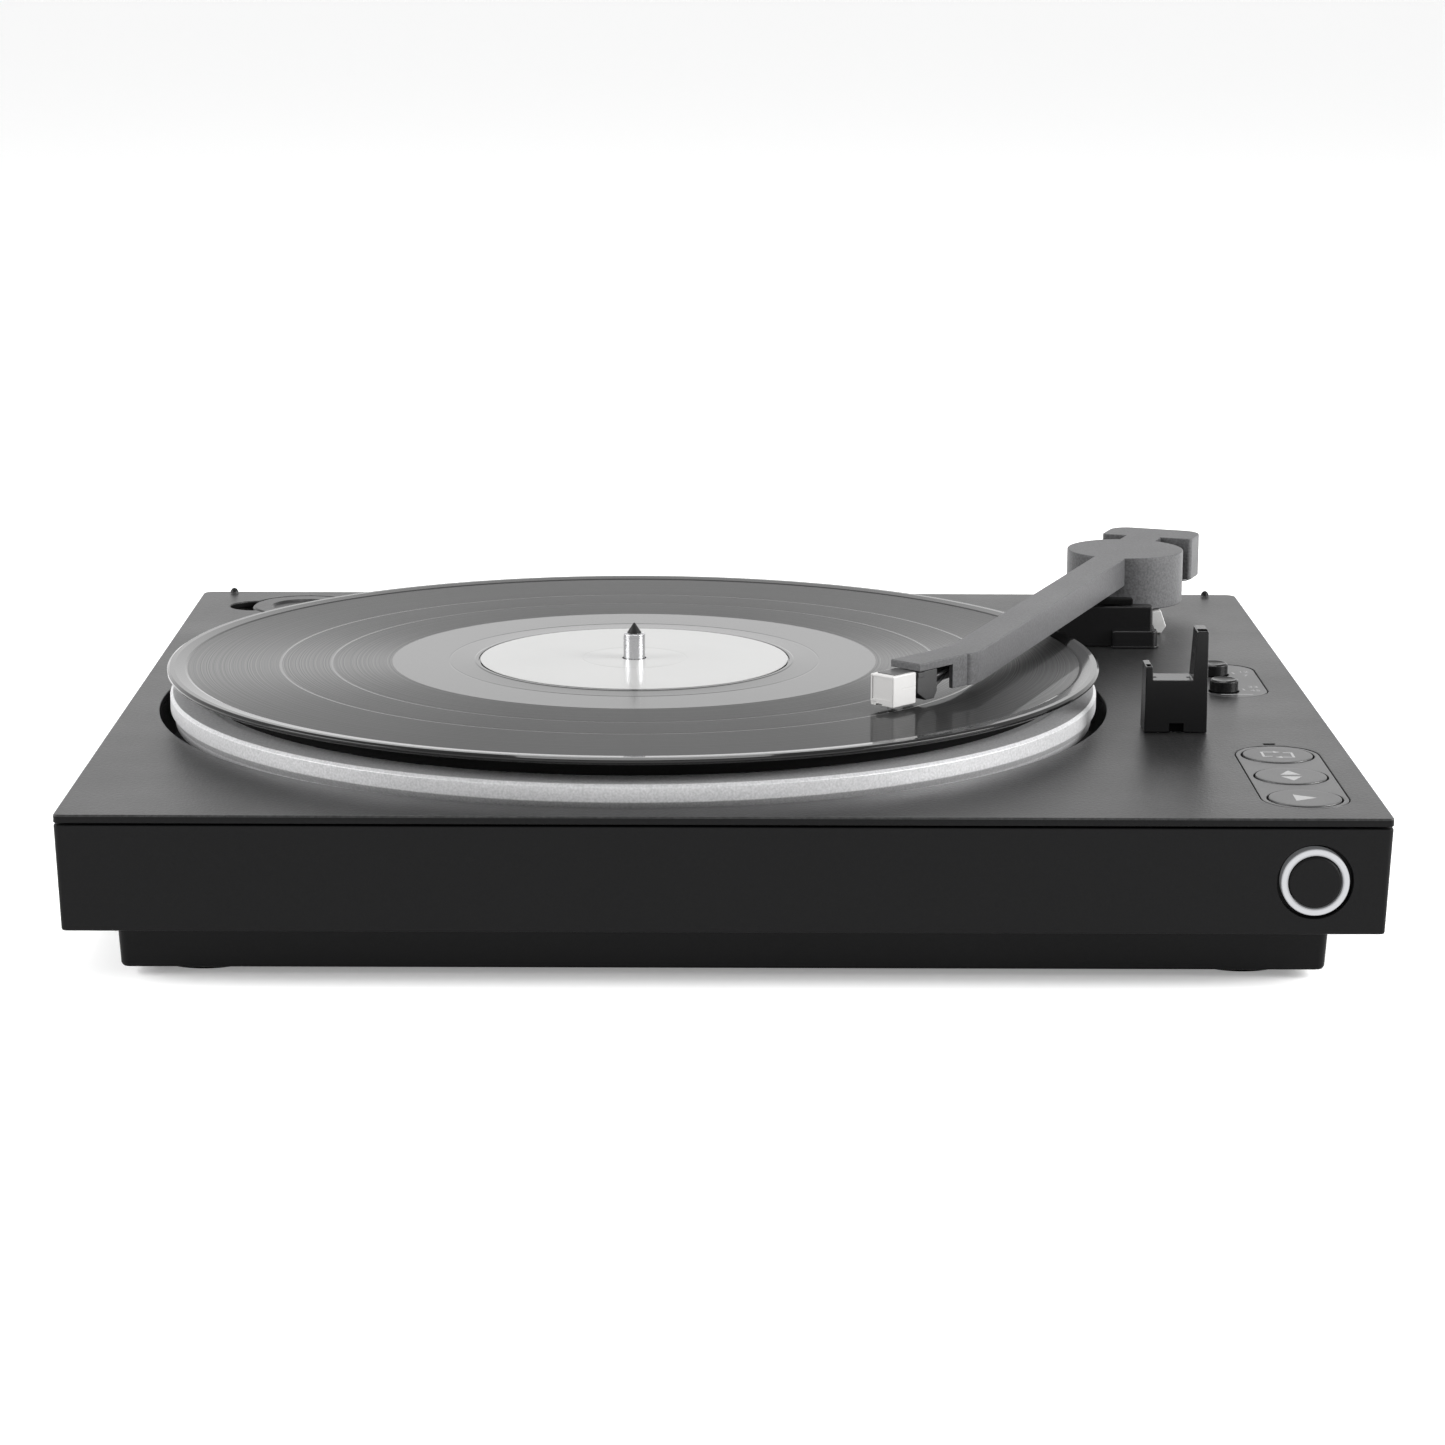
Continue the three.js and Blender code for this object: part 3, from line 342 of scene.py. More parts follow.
class Nodes:
    """The node tree of one material, with its Principled shader."""

    def __init__(self, name):
        self.material = bpy.data.materials.new(name)
        self.material.use_nodes = True
        self.tree = self.material.node_tree
        self.shader = self.tree.nodes["Principled BSDF"]
        self.place = self.add("ShaderNodeTexCoord").outputs["Object"]

    def add(self, kind, **settings):
        node = self.tree.nodes.new(kind)
        for key, value in settings.items():
            setattr(node, key, value)
        return node

    def link(self, source, target):
        self.tree.links.new(source, target)

    def set(self, **values):
        for key, value in values.items():
            self.shader.inputs[key.replace("_", " ")].default_value = value

    def noise(self, scale, detail=2.0, place=None, dimensions="3D"):
        node = self.add("ShaderNodeTexNoise", noise_dimensions=dimensions)
        node.inputs["Scale"].default_value = scale
        node.inputs["Detail"].default_value = detail
        self.link(place or self.place, node.inputs["W" if dimensions == "1D" else "Vector"])
        return node.outputs["Fac"]

    def scaled(self, value, low, high, new_low, new_high):
        node = self.add("ShaderNodeMapRange")
        for key, bound in (("From Min", low), ("From Max", high), ("To Min", new_low), ("To Max", new_high)):
            node.inputs[key].default_value = bound
        self.link(value, node.inputs["Value"])
        return node.outputs["Result"]

    def combined(self, operation, first, second):
        node = self.add("ShaderNodeMath", operation=operation)
        self.link(first, node.inputs[0])
        self.link(second, node.inputs[1])
        return node.outputs["Value"]

    def ramp(self, value, *stops):
        node = self.add("ShaderNodeValToRGB")
        elements = node.color_ramp.elements
        while len(elements) < len(stops):
            elements.new(0.5)
        for element, (position, colour) in zip(elements, stops):
            element.position = position
            element.color = (*colour, 1)
        self.link(value, node.inputs["Fac"])
        return node.outputs["Color"]

    def bump(self, height, strength, distance):
        node = self.add("ShaderNodeBump")
        node.inputs["Strength"].default_value = strength
        node.inputs["Distance"].default_value = distance
        self.link(height, node.inputs["Height"])
        self.link(node.outputs["Normal"], self.shader.inputs["Normal"])

    def radius(self, centre=(0, 0), across="XY"):
        """Distance from an axis, in metres. across names the two coordinates at right angles to it."""
        moved = self.add("ShaderNodeVectorMath", operation="MULTIPLY")
        moved.inputs[1].default_value = [1 if axis in across else 0 for axis in "XYZ"]
        shift = self.add("ShaderNodeVectorMath", operation="SUBTRACT")
        shift.inputs[1].default_value = centre if len(centre) == 3 else (*centre, 0)
        length = self.add("ShaderNodeVectorMath", operation="LENGTH")
        self.link(self.place, shift.inputs[0])
        self.link(shift.outputs["Vector"], moved.inputs[0])
        self.link(moved.outputs["Vector"], length.inputs[0])
        return length.outputs["Value"]


def shade_of(colour, factor):
    return tuple(min(channel * factor, 1) for channel in colour)


def moulded(name, colour, roughness, grain=1800, depth=0.02, variation=0.12, level=0.5, coat=0.0, metal=0.0):
    """Moulded or coated surface: fine grain in colour and height, and slow changes in gloss."""
    nodes = Nodes(name)
    nodes.set(Metallic=metal, Specular_IOR_Level=level, Coat_Weight=coat, Coat_Roughness=0.08)
    fine = nodes.noise(grain, 3)
    low, high = shade_of(colour, 1 - variation), shade_of(colour, 1 + variation)
    nodes.link(nodes.ramp(fine, (0.3, low), (0.7, high)), nodes.shader.inputs["Base Color"])
    slow = nodes.noise(24, 3)
    gloss = nodes.scaled(slow, 0.3, 0.7, roughness * 0.94, roughness * 1.06)
    nodes.link(gloss, nodes.shader.inputs["Roughness"])
    nodes.bump(fine, 0.5, depth * MM)
    return nodes.material


def turned_metal(name, colour, roughness, anisotropy=0.3, speckle=0.0, metal=1.0):
    """Metal with fine circular tool marks and, where it is blasted, bright specks."""
    nodes = Nodes(name)
    nodes.set(Metallic=metal, Anisotropic=anisotropy)
    specks = nodes.noise(1500, 2)
    low, high = shade_of(colour, 1 - speckle), shade_of(colour, 1 + speckle)
    nodes.link(nodes.ramp(specks, (0.3, low), (0.7, high)), nodes.shader.inputs["Base Color"])
    gloss = nodes.scaled(nodes.noise(700, 2), 0.3, 0.7, roughness * 0.85, roughness * 1.2)
    nodes.link(gloss, nodes.shader.inputs["Roughness"])
    nodes.bump(specks, 0.35, 0.02 * MM)
    return nodes.material


BAND_BLUR = 0.15


def vinyl():
    """Pressed record: fine grooves that scatter light across them, and smooth bands between tracks."""
    nodes = Nodes("vinyl")
    nodes.set(Base_Color=(0.006, 0.006, 0.006, 1), Anisotropic=0.9, Anisotropic_Rotation=0.25)
    nodes.set(Coat_Weight=0.24, Coat_Roughness=0.02, Specular_IOR_Level=0.1)
    tangent = nodes.add("ShaderNodeTangent", direction_type="RADIAL", axis="Z")
    nodes.link(tangent.outputs["Tangent"], nodes.shader.inputs["Tangent"])
    radius = nodes.radius()
    smooth = None
    for inner, outer in SMOOTH_BANDS:
        above = nodes.scaled(radius, (inner - BAND_BLUR) * MM, (inner + BAND_BLUR) * MM, 0, 1)
        below = nodes.scaled(radius, (outer - BAND_BLUR) * MM, (outer + BAND_BLUR) * MM, 1, 0)
        band = nodes.combined("MULTIPLY", above, below)
        smooth = nodes.combined("MAXIMUM", smooth, band) if smooth else band
    streaks = nodes.scaled(nodes.noise(2600, 3, radius, "1D"), 0.3, 0.7, 0.34, 0.52)
    gloss = nodes.add("ShaderNodeMix", data_type="FLOAT")
    nodes.link(smooth, gloss.inputs["Factor"])
    nodes.link(streaks, gloss.inputs["A"])
    gloss.inputs["B"].default_value = 0.1
    nodes.link(gloss.outputs["Result"], nodes.shader.inputs["Roughness"])
    return nodes.material


def lit_ring(name, centre, inner, outer, strength):
    """A diffusing ring lit from behind, brightest along its middle."""
    nodes = Nodes(name)
    nodes.set(Base_Color=(0.1, 0.1, 0.105, 1), Roughness=0.4, Emission_Strength=strength)
    radius = nodes.radius(centre, "XZ")
    share = nodes.scaled(radius, inner * MM, outer * MM, 0, 1)
    dark, bright = (0.0, 0.0, 0.0), (0.95, 0.97, 1.0)
    glow = nodes.ramp(share, (0.0, dark), (0.35, bright), (0.8, bright), (1.0, shade_of(bright, 0.1)))
    nodes.link(glow, nodes.shader.inputs["Emission Color"])
    return nodes.material


RECORD_RADIUS = limits("record_disc")[1].x - middle("record_disc").x
RIM_INNER = 145.2
DEAD_WAX_RADIUS = 78.5
SMOOTH_BANDS = [(0, DEAD_WAX_RADIUS), (97.7, 98.4), (114.1, 114.9), (RIM_INNER - 0.8, RECORD_RADIUS + 1)]
POWER = middle("power_button")
POWER_PLACE = (POWER.x * MM, 0, (POWER.z + DECK_HEIGHT) * MM)
LIT_BAND = (7.75, 9.95)

# Colour, roughness, grain per metre, grain depth in mm, variation, specular level and coat; for the
# metals colour, roughness, anisotropy, speckle and share of metal.
LOOKS = {
    "deck_plastic": moulded("deck_plastic", (0.011, 0.011, 0.0112), 0.37, 1000, 0.2, 0.7, 0.32),
    "body_plastic": moulded("body_plastic", (0.004, 0.004, 0.0042), 0.42, 2200, 0.01, 0.2, 0.09),
    "arm_plastic": moulded("arm_plastic", (0.054, 0.054, 0.056), 0.46, 1300, 0.12, 0.35, 0.4),
    "black_plastic": moulded("black_plastic", (0.004, 0.004, 0.0042), 0.26, 2400, 0.006, 0.2, 0.22),
    "cartridge_plastic": moulded("cartridge_plastic", (0.022, 0.022, 0.0222), 0.36, 2400, 0.006, 0.2, 0.4),
    "panel_plastic": moulded("panel_plastic", (0.03, 0.03, 0.0305), 0.36, 1500, 0.02, 0.25, 0.5),
    "platter_metal": turned_metal("platter_metal", (0.45, 0.45, 0.456), 0.42, 0.2, 0.16, 0.25),
    "steel": turned_metal("steel", (0.5, 0.5, 0.51), 0.24, 0.5, 0.03),
    "dark_steel": turned_metal("dark_steel", (0.04, 0.04, 0.04), 0.3, 0.3, 0.05),
    "weight_iron": moulded("weight_iron", (0.02, 0.02, 0.02), 0.6, 900, 0.04, 0.3),
    "mat_rubber": moulded("mat_rubber", (0.002, 0.002, 0.002), 0.7, 1400, 0.03, 0.3, 0.06),
    "vinyl": vinyl(),
    "label_card": moulded("label_card", (0.265, 0.265, 0.262), 0.3, 1300, 0.004, 0.015, 0.3, 0.2),
    "white_plastic": moulded("white_plastic", (0.42, 0.415, 0.41), 0.35, 1800, 0.005, 0.015),
    "pale_plastic": moulded("pale_plastic", (0.42, 0.42, 0.415), 0.4, 1500, 0.01, 0.04),
    "print": moulded("print", (0.26, 0.26, 0.26), 0.5, 2500, 0.002, 0.04, 0.3),
    "nylon": moulded("nylon", (0.62, 0.6, 0.54), 0.45, 1200, 0.01, 0.05),
    "brass": turned_metal("brass", (0.6, 0.44, 0.18), 0.3, 0.5, 0.05),
    "circuit_board": moulded("circuit_board", (0.02, 0.1, 0.04), 0.35, 500, 0.01, 0.25),
    "red_plastic": moulded("red_plastic", (0.4, 0.02, 0.02), 0.35, 1800, 0.005, 0.05),
    "light": lit_ring("light", POWER_PLACE, *LIT_BAND, 0.46),
    # Black of the unlit status lamp, and the matte black of the painted-shade sheet in the arm rest's slot.
    "off_lamp_and_shade_black": moulded("off_lamp_and_shade_black", (0.002, 0.002, 0.002), 0.8, 1800, 0.003, 0.1, 0.0),
}

# ---- casing ----------------------------------------------

DECK_LOW, DECK_HIGH = limits("top_plate")
DECK_THICKNESS = 2.5
# The textured top of the deck, above its plain moulded edge.
DECK_SKIN = 0.55
PLATTER = middle("platter")
WELL_RADIUS = 153.5
WELL_FLOOR = (-18, -16)
ARM_PIVOT = middle("pivot_shaft")
LIFT_ROD = middle("lift_rod")
BUTTONS = {name: middle(name) for name in ("repeat_button", "lift_button", "start_button")}
SELECTORS = {name: middle(name) for name in ("size_button", "speed_button")}
ADAPTER = middle("adapter_45")
POCKET_RADIUS = 19.5
POCKET_WALL = 1.5
POCKET_BOTTOM, POCKET_FLOOR = -7.5, -5.5
FINGER_DIP = (ADAPTER.x - 18, ADAPTER.y - 1)
FINGER_DIP_RADIUS = 9.2
FINGER_DIP_FLOOR = -4
PANEL_GAP = 0.3
PANEL_RISE = 0.12


def panel_outline(node, gap=0.0):
    """The round-ended outline of a control panel, grown by gap on every side."""
    low, high = limits(node)
    radius = (high.x - low.x) / 2
    ends = (low.y + radius, high.y - radius)
    return stadium((low.x + high.x) / 2, ends, radius + gap)


def pocket_outline(wall=0.0, bite=False):
    """The adapter's pocket with its finger dip, grown by wall."""
    return joined_circles(
        ADAPTER.xy, POCKET_RADIUS + wall, FINGER_DIP, FINGER_DIP_RADIUS + wall, bite=bite)


def make_deck():
    light_low, light_high = limits("status_light")
    light_x = (light_low.x - PANEL_GAP, light_high.x + PANEL_GAP)
    light_y = (light_low.y - PANEL_GAP, light_high.y + PANEL_GAP)
    outline = rectangle((DECK_LOW.x, DECK_HIGH.x), (DECK_LOW.y, DECK_HIGH.y), (1.5, 1.5, 3.5, 3.5))
    pocket = pocket_outline()
    holes = [
        circle(PLATTER.xy, WELL_RADIUS, 320),
        panel_outline("button_panel", PANEL_GAP),
        panel_outline("selector_panel", PANEL_GAP),
        rectangle(light_x, light_y, (0.3,) * 4, 3),
        circle(ARM_PIVOT.xy, 6, 48),
        circle(LIFT_ROD.xy, 2.4, 32),
        pocket,
    ]
    rim = Shape()
    rim.slab(outline, -DECK_THICKNESS, -DECK_SKIN - 0.02, (0.35, 0), holes)
    rim.make("deck_rim", "body_plastic", "top_plate")
    deck = Shape()
    deck.slab(outline, -DECK_SKIN, 0, (0, 0.35), holes)
    wall = [
        (WELL_RADIUS, -DECK_THICKNESS), (WELL_RADIUS + 2, -DECK_THICKNESS),
        (WELL_RADIUS + 2, WELL_FLOOR[0]), (WELL_RADIUS, WELL_FLOOR[0]),
    ]
    deck.turned(wall, PLATTER.xy, 320)
    floor_holes = [
        circle(PLATTER.xy, 8.4, 48),
        circle(middle("motor_shaft").xy, 4, 32),
        circle(limits("arm_drive_lever")[0].xy + Vector((6, 6)), 9.5, 32),
    ]
    deck.slab(circle(PLATTER.xy, WELL_RADIUS, 160), *WELL_FLOOR, (0, 0), floor_holes)
    deck.slab(pocket_outline(POCKET_WALL), POCKET_BOTTOM, -DECK_THICKNESS, (0.3, 0), [pocket])
    deck.slab(pocket, POCKET_BOTTOM, POCKET_FLOOR, (0, 0))
    deck.slab(pocket_outline(bite=True), POCKET_FLOOR, FINGER_DIP_FLOOR, (0, 0.2))
    deck.make("deck_plate", "deck_plastic", "top_plate")


def frame_ring(half, away, z, radius):
    """The corners-rounded rectangle at one height of the casing, drawn in by away on every side."""
    x, y = half[0] - away, half[1] - away
    flat = rectangle((-x, x), (-y, y), (max(radius - away * 0.5, 0.4),) * 4, 5)
    return [(*point, z) for point in flat]


def make_plinth():
    low, high = limits("plinth_shell")
    half = (high.x, high.y)
    top, bottom, draft = high.z - 0.3, low.z, 1.3
    section = [
        (0.45, top), (0.13, top - 0.12), (0, top - 0.45), (draft - 0.03, bottom + 0.7),
        (draft + 0.2, bottom + 0.2), (draft + 0.7, bottom), (23, bottom), (23, bottom + 2.5),
        (draft + 2.5, bottom + 2.5), (draft + 2.5, top),
    ]
    shell = Shape()
    shell.loft([frame_ring(half, away, z, 1.8) for away, z in section], closed=True)
    lip = [(2, top - 1), (2, high.z), (3.8, high.z), (3.8, top - 1)]
    shell.loft([frame_ring(half, away, z, 1.2) for away, z in lip], closed=True)
    mouth = [(0, low.y - 1), (11.6, low.y - 1), (11.1, low.y + 0.6), (11, low.y + 8), (0, low.y + 8)]
    hole = Shape().turned(mouth, place=along_y(POWER.x, POWER.z), steps=128)
    shell.make("side_shell", "body_plastic", "plinth_shell", cutters=[hole])


SOCKET_HOLES = {"rca_jack_left": 5.6, "rca_jack_right": 5.6, "dc_jack": 4.6}


def make_tray():
    low, high = limits("base_tray")
    half = (high.x, high.y)
    top, bottom = high.z, low.z
    section = [
        (2.2, bottom), (1.3, bottom + 0.3), (0.8, bottom + 1.2), (0, top), (3.5, top), (3.5, bottom + 2.5),
    ]
    tray = Shape().loft([frame_ring(half, away, z, 3) for away, z in section])
    inside, outside = high.y - 8, high.y + 2
    holes = []
    for node, radius in SOCKET_HOLES.items():
        centre = middle(node)
        profile = [(0, inside), (radius, inside), (radius, outside), (0, outside)]
        holes.append(Shape().turned(profile, place=along_y(centre.x, centre.z)))
    low, high = limits("output_switch")
    slot_x, slot_z = (low.x - 1.4, high.x + 5.4), (low.z - 0.5, high.z + 0.5)
    holes.append(Shape().box(slot_x, (inside, outside), slot_z, 0.1))
    tray.make("bottom_tray", "body_plastic", "base_tray", cutters=holes)


def make_feet():
    for side in ("front_left", "front_right", "rear_left", "rear_right"):
        node = f"foot_{side}"
        low, high = limits(node)
        radius = (high.x - low.x) / 2
        profile = [
            (0, low.z + 0.5), (radius - 5, low.z + 0.5, 0.4), (radius - 5.4, low.z),
            (radius - 0.4, low.z, 0.6), (radius, high.z), (0, high.z),
        ]
        Shape().turned(profile, middle(node).xy, 96).make(f"rubber_{node}", "mat_rubber", node)


def make_cover_pins():
    for node in ("cover_pin_left", "cover_pin_right"):
        low, high = limits(node)
        profile = [
            (0, low.z), (1.5, low.z), (1.4, low.z + 0.6, 0.2), (0.9, high.z - 1.4, 0.4), (0, high.z - 1),
        ]
        Shape().turned(profile, middle(node).xy, 40).make(f"{node}_moulding", "black_plastic", node)


# ---- platter and record ----------------------------------


def turned_piece(name, look, node, profile, steps=360):
    """A piece drawn about its own axis, so that its material can be, too."""
    shape = Shape(Matrix.Translation(centre_of(node)))
    shape.turned(profile, (0, 0), steps)
    return shape.make(name, look, node, origin=centre_of(node))


def make_platter():
    low, high = limits("platter")
    radius = (high.x - low.x) / 2
    profile = [
        (3.9, -7), (12, -7, 0.5), (12, 5.4), (92.5, 5.4), (92.5, low.z, 0.3), (95, low.z, 0.3),
        (95, 5.4), (131, 5.4), (135, 2), (radius - 3.5, 2), (radius - 3.5, -4, 0.4),
        (radius - 1.6, -4, 0.4), (radius - 1.3, -1.4, 0.6), (radius, 0.7, 0.8), (radius, 5.1, 0.3),
        (radius - 0.9, 6, 0.3), (radius - 9.2, 6, 0.2), (radius - 9.5, 5.8), (137, 5.8),
        (137, high.z, 0.3), (3.9, high.z),
    ]
    turned_piece("platter_casting", "platter_metal", "platter", profile)


def make_mat():
    low, high = limits("slip_mat")
    sunk = high.z - 0.3
    mat = [
        (4, 9.7), (137.3, 9.7), (137.3, low.z), (139.3, low.z, 0.2), (139.3, high.z - 0.6, 0.3),
        (138.8, high.z, 0.3), (137.2, high.z), (136.8, sunk), (136.2, sunk), (135.8, high.z),
        (52, high.z), (51.5, sunk), (4, sunk),
    ]
    turned_piece("mat_disc", "mat_rubber", "slip_mat", mat)


GROOVE_LEVEL = 13.35
LABEL_SEAT = 13.05


def make_record():
    low, high = limits("record_disc")
    bottom, rim = low.z, high.z
    outer = RECORD_RADIUS
    between_tracks = GROOVE_LEVEL - 0.05
    dead_wax = GROOVE_LEVEL - 0.06
    last_groove = GROOVE_LEVEL - 0.12
    label_edge = GROOVE_LEVEL + 0.12
    profile = [
        (3.8, bottom), (outer - 0.9, bottom, 0.5), (outer, bottom + 0.75, 0.45), (outer, rim - 0.5, 0.4),
        (outer - 0.8, rim, 0.4), (outer - 2.4, rim, 0.5), (RIM_INNER, rim - 0.32, 0.8),
        (RIM_INNER - 0.9, GROOVE_LEVEL, 0.3),
    ]
    for band_inner, band_outer in reversed(SMOOTH_BANDS[1:-1]):
        profile += [
            (band_outer, GROOVE_LEVEL), (band_outer - 0.1, between_tracks),
            (band_inner + 0.1, between_tracks), (band_inner, GROOVE_LEVEL),
        ]
    profile += [
        (DEAD_WAX_RADIUS, GROOVE_LEVEL), (DEAD_WAX_RADIUS - 0.2, dead_wax), (60.4, dead_wax),
        (60.2, last_groove), (59.8, last_groove), (59.6, dead_wax), (52.2, dead_wax),
        (51.6, label_edge, 0.2), (50.6, label_edge, 0.2), (50.4, LABEL_SEAT), (3.8, LABEL_SEAT),
    ]
    turned_piece("record_vinyl", "vinyl", "record_disc", profile, 480)

    low, high = limits("record_label")
    paper = (high.x - low.x) / 2
    card = [
        (3.9, low.z), (paper, low.z), (paper, high.z, 0.12), (17.6, high.z), (17.2, high.z - 0.08),
        (16.8, high.z - 0.08), (16.4, high.z), (3.9, high.z, 0.15),
    ]
    turned_piece("label_paper", "label_card", "record_label", card, 240)


def make_spindle():
    low, high = limits("spindle")
    radius = (high.x - low.x) / 2
    shoulder = high.z - 3.6
    neck = radius * 0.66
    top = shoulder + 0.35
    profile = [(0, low.z), (radius, low.z, 0.4), (radius, shoulder, 0.2), (neck, top), (0, top)]
    turned_piece("spindle_pin", "steel", "spindle", profile, 96)
    base = top + 0.02
    cone = [(0, base), (neck - 0.1, base), (neck, shoulder + 0.5), (0.25, high.z - 0.1, 0.2), (0, high.z)]
    centre = centre_of("spindle")
    tip = Shape(Matrix.Translation(centre)).turned(cone, (0, 0), 64)
    tip.make("spindle_tip", "dark_steel", body=BODY_OF["spindle"], slot=SLOT_OF["spindle"], origin=centre)


# ---- tonearm ---------------------------------------------
# In the arm frame x runs from the pivot to the stylus and y towards the arm rest's side. In the head
# frame x is ahead of the stylus and y to its right.

LIFT_AXIS = JOINTS["tonearm_lift"]["axis"]
ARM_ANGLE = math.atan2(LIFT_AXIS[1], -LIFT_AXIS[0])
ARM = Matrix.Translation((ARM_PIVOT.x, ARM_PIVOT.y, 0)) @ Matrix.Rotation(-math.pi / 2 - ARM_ANGLE, 4, "Z")
STYLUS = (232.1, -14.7)
HEAD_ANGLE = math.radians(22.5)
HEAD = ARM @ Matrix.Translation((*STYLUS, 0)) @ Matrix.Rotation(-HEAD_ANGLE, 4, "Z")
ARM_TOP, ARM_BOTTOM, ARM_ROOF = 27.2, 17.2, 24.9
ARM_SIDES = (-6.2, 5.1)
ARM_WALL = 1.4
DRUM_RADIUS = 20.65
DRUM_BOTTOM = 8.7
HEAD_HALF = 5.8
HEAD_FRONT, HEAD_BACK = -8.1, -34
COVER_X, COVER_Y, COVER_BOTTOM = (-46.5, -28.5), (-16, 17.5), 12
NECK = (-7, 6)
# Where the arm's side walls end above the cartridge, ahead of the stylus.
RIGHT_WALL_END, LEFT_WALL_END = -24, -18.5


def head_point(ahead, right):
    turn = Matrix.Rotation(-HEAD_ANGLE, 2)
    return Vector(STYLUS) + turn @ Vector((ahead, right))


def wand_right(away, end):
    """The arm's right side, away from its surface, from near the drum to end ahead of the stylus."""
    bend = head_point(HEAD_BACK + 3, HEAD_HALF - away)
    side = ARM_SIDES[1] - away
    points = curve(Vector((bend.x - 9, side)), Vector((bend.x - 1, side)), bend)
    return points + [head_point(end, HEAD_HALF - away)]


def wand_left(away, end):
    bend = head_point(HEAD_BACK + 5, -HEAD_HALF + away)
    side = ARM_SIDES[0] + away
    points = curve(bend, Vector((bend.x - 8, side)), Vector((bend.x - 16, side)))
    return [head_point(end, -HEAD_HALF + away)] + points


def drum_arc(first, last, side):
    """The drum's rim between the arm's or neck's edges at y = first and y = last."""
    start = math.asin(first / DRUM_RADIUS)
    end = side * math.pi - math.asin(last / DRUM_RADIUS)
    return arc((0, 0), DRUM_RADIUS, start, end, 64)


def arm_tail():
    """The arm's outline behind the wand: the drum, the neck and the rear weight cover."""
    cover = rounded([
        (COVER_X[1], NECK[0], 0.8), (COVER_X[1], COVER_Y[0], 1.6), (COVER_X[0], COVER_Y[0], 7),
        (COVER_X[0], COVER_Y[1], 7), (COVER_X[1], COVER_Y[1], 1.6), (COVER_X[1], NECK[1], 0.8),
    ], 8)
    left = drum_arc(ARM_SIDES[0], NECK[0], -1)
    right = drum_arc(ARM_SIDES[1], NECK[1], 1)[::-1]
    return left + cover + right


def make_arm():
    arm = Shape(ARM)
    roof = wand_right(0, HEAD_FRONT) + wand_left(0, HEAD_FRONT) + arm_tail()
    arm.slab(roof, ARM_ROOF, ARM_TOP, (0, 0.4), steps=3)
    hollow_start = 23
    hollow_end = [
        Vector((hollow_start, ARM_SIDES[1] - ARM_WALL)),
        Vector((hollow_start, ARM_SIDES[0] + ARM_WALL)),
    ]
    walls = wand_right(0, RIGHT_WALL_END) + wand_right(ARM_WALL, RIGHT_WALL_END)[::-1] + hollow_end
    walls += wand_left(ARM_WALL, LEFT_WALL_END)[::-1] + wand_left(0, LEFT_WALL_END) + arm_tail()
    drum_hole = circle((0, 0), DRUM_RADIUS - 2, 96)
    hole_x = (COVER_X[0] + 2.5, COVER_X[1] - 2)
    hole_y = (COVER_Y[0] + 2, COVER_Y[1] - 2)
    cover_hole = rectangle(hole_x, hole_y, (4, 0.5, 0.5, 4))
    arm.slab(walls, ARM_BOTTOM, ARM_ROOF, (0.3, 0), [drum_hole, cover_hole])
    join = ARM_BOTTOM + 0.4
    rim = [
        (DRUM_RADIUS - 2, DRUM_BOTTOM, 0.3), (DRUM_RADIUS, DRUM_BOTTOM, 0.4),
        (DRUM_RADIUS, join), (DRUM_RADIUS - 2, join),
    ]
    arm.turned(rim, steps=128)
    cover = rectangle(COVER_X, COVER_Y, (7, 1.6, 1.6, 7), 8)
    arm.slab(cover, COVER_BOTTOM, join, (0.5, 0), [cover_hole])
    arm.make("arm_moulding", "arm_plastic", "arm_shell", crease=28)


def make_cartridge():
    body = Shape(HEAD)
    side = rounded([
        (-18, 24.4, 0.4), (-18, 17.2, 0.4), (-16.6, 15.1, 0.6),
        (-12.6, 15.1, 0.4), (-8.5, 17.8, 0.4), (-8.5, 24.4, 0.3),
    ])
    body.slab(side, -4.6, 4.6, (0.35, 0.35), place=UPRIGHT)
    body.box((-15.5, -10.5), (-3, 3), (24.2, 24.85), 0.2)
    body.box((-11.6, -8.4), (4.3, 5.0), (22.6, 24.2), 0.15)
    for right in (-2.4, -0.8, 0.8, 2.4):
        for z in (18.4, 21.4):
            pin = Matrix.Translation((0, right, z)) @ Matrix.Rotation(-math.pi / 2, 4, "Y")
            body.turned([(0, 17.8), (0.45, 17.8), (0.45, 20.2, 0.15), (0, 20.2)], steps=16, place=pin)
    body.make("cartridge_housing", "cartridge_plastic", "cartridge_body")


def make_stylus():
    holder = Shape(HEAD).box((-7.9, 3.1), (-4.6, 4.6), (14.9, 24.6), 0.35)
    panel = Shape(HEAD).box((2.85, 5), (-3.8, 3.5), (16.9, 23.9), 0.05)
    notch = Shape(HEAD).box((1.2, 5), (-2.2, 0.2), (13, 15.6), 0.1)
    step = Shape(HEAD).box((2.7, 5), (-6, -2.2), (13, 16.2), 0.1)
    slot = Shape(HEAD).box((-4.6, 2.4), (-1.1, 1.1), (13, 18.5), 0.1)
    groove = Shape(HEAD).box((-9, -1.2), (4.45, 6), (20.2, 20.5), 0.03)
    cutters = [panel, notch, step, slot, groove]
    holder.make("stylus_grip", "white_plastic", "stylus_holder", cutters=cutters)
    patch = Shape(HEAD).box((-7.6, 1.0), (-3.5, 3.5), (24.5, 24.85), 0.1)
    patch.make("stylus_grip_cap", "panel_plastic", body=BODY_OF["stylus_holder"], slot="black_plastic")

    needle = Shape(HEAD)
    needle.tube([Vector((-4, 0, 17.2)), Vector((-1.8, 0, 15.9)), Vector((0.45, 0, 14.7))], 0.3)
    needle.turned([(0, 13.5), (0.12, 13.55), (0.3, 14.2), (0.3, 15), (0, 15)], steps=16)
    needle.make("stylus_needle", "steel", "stylus")


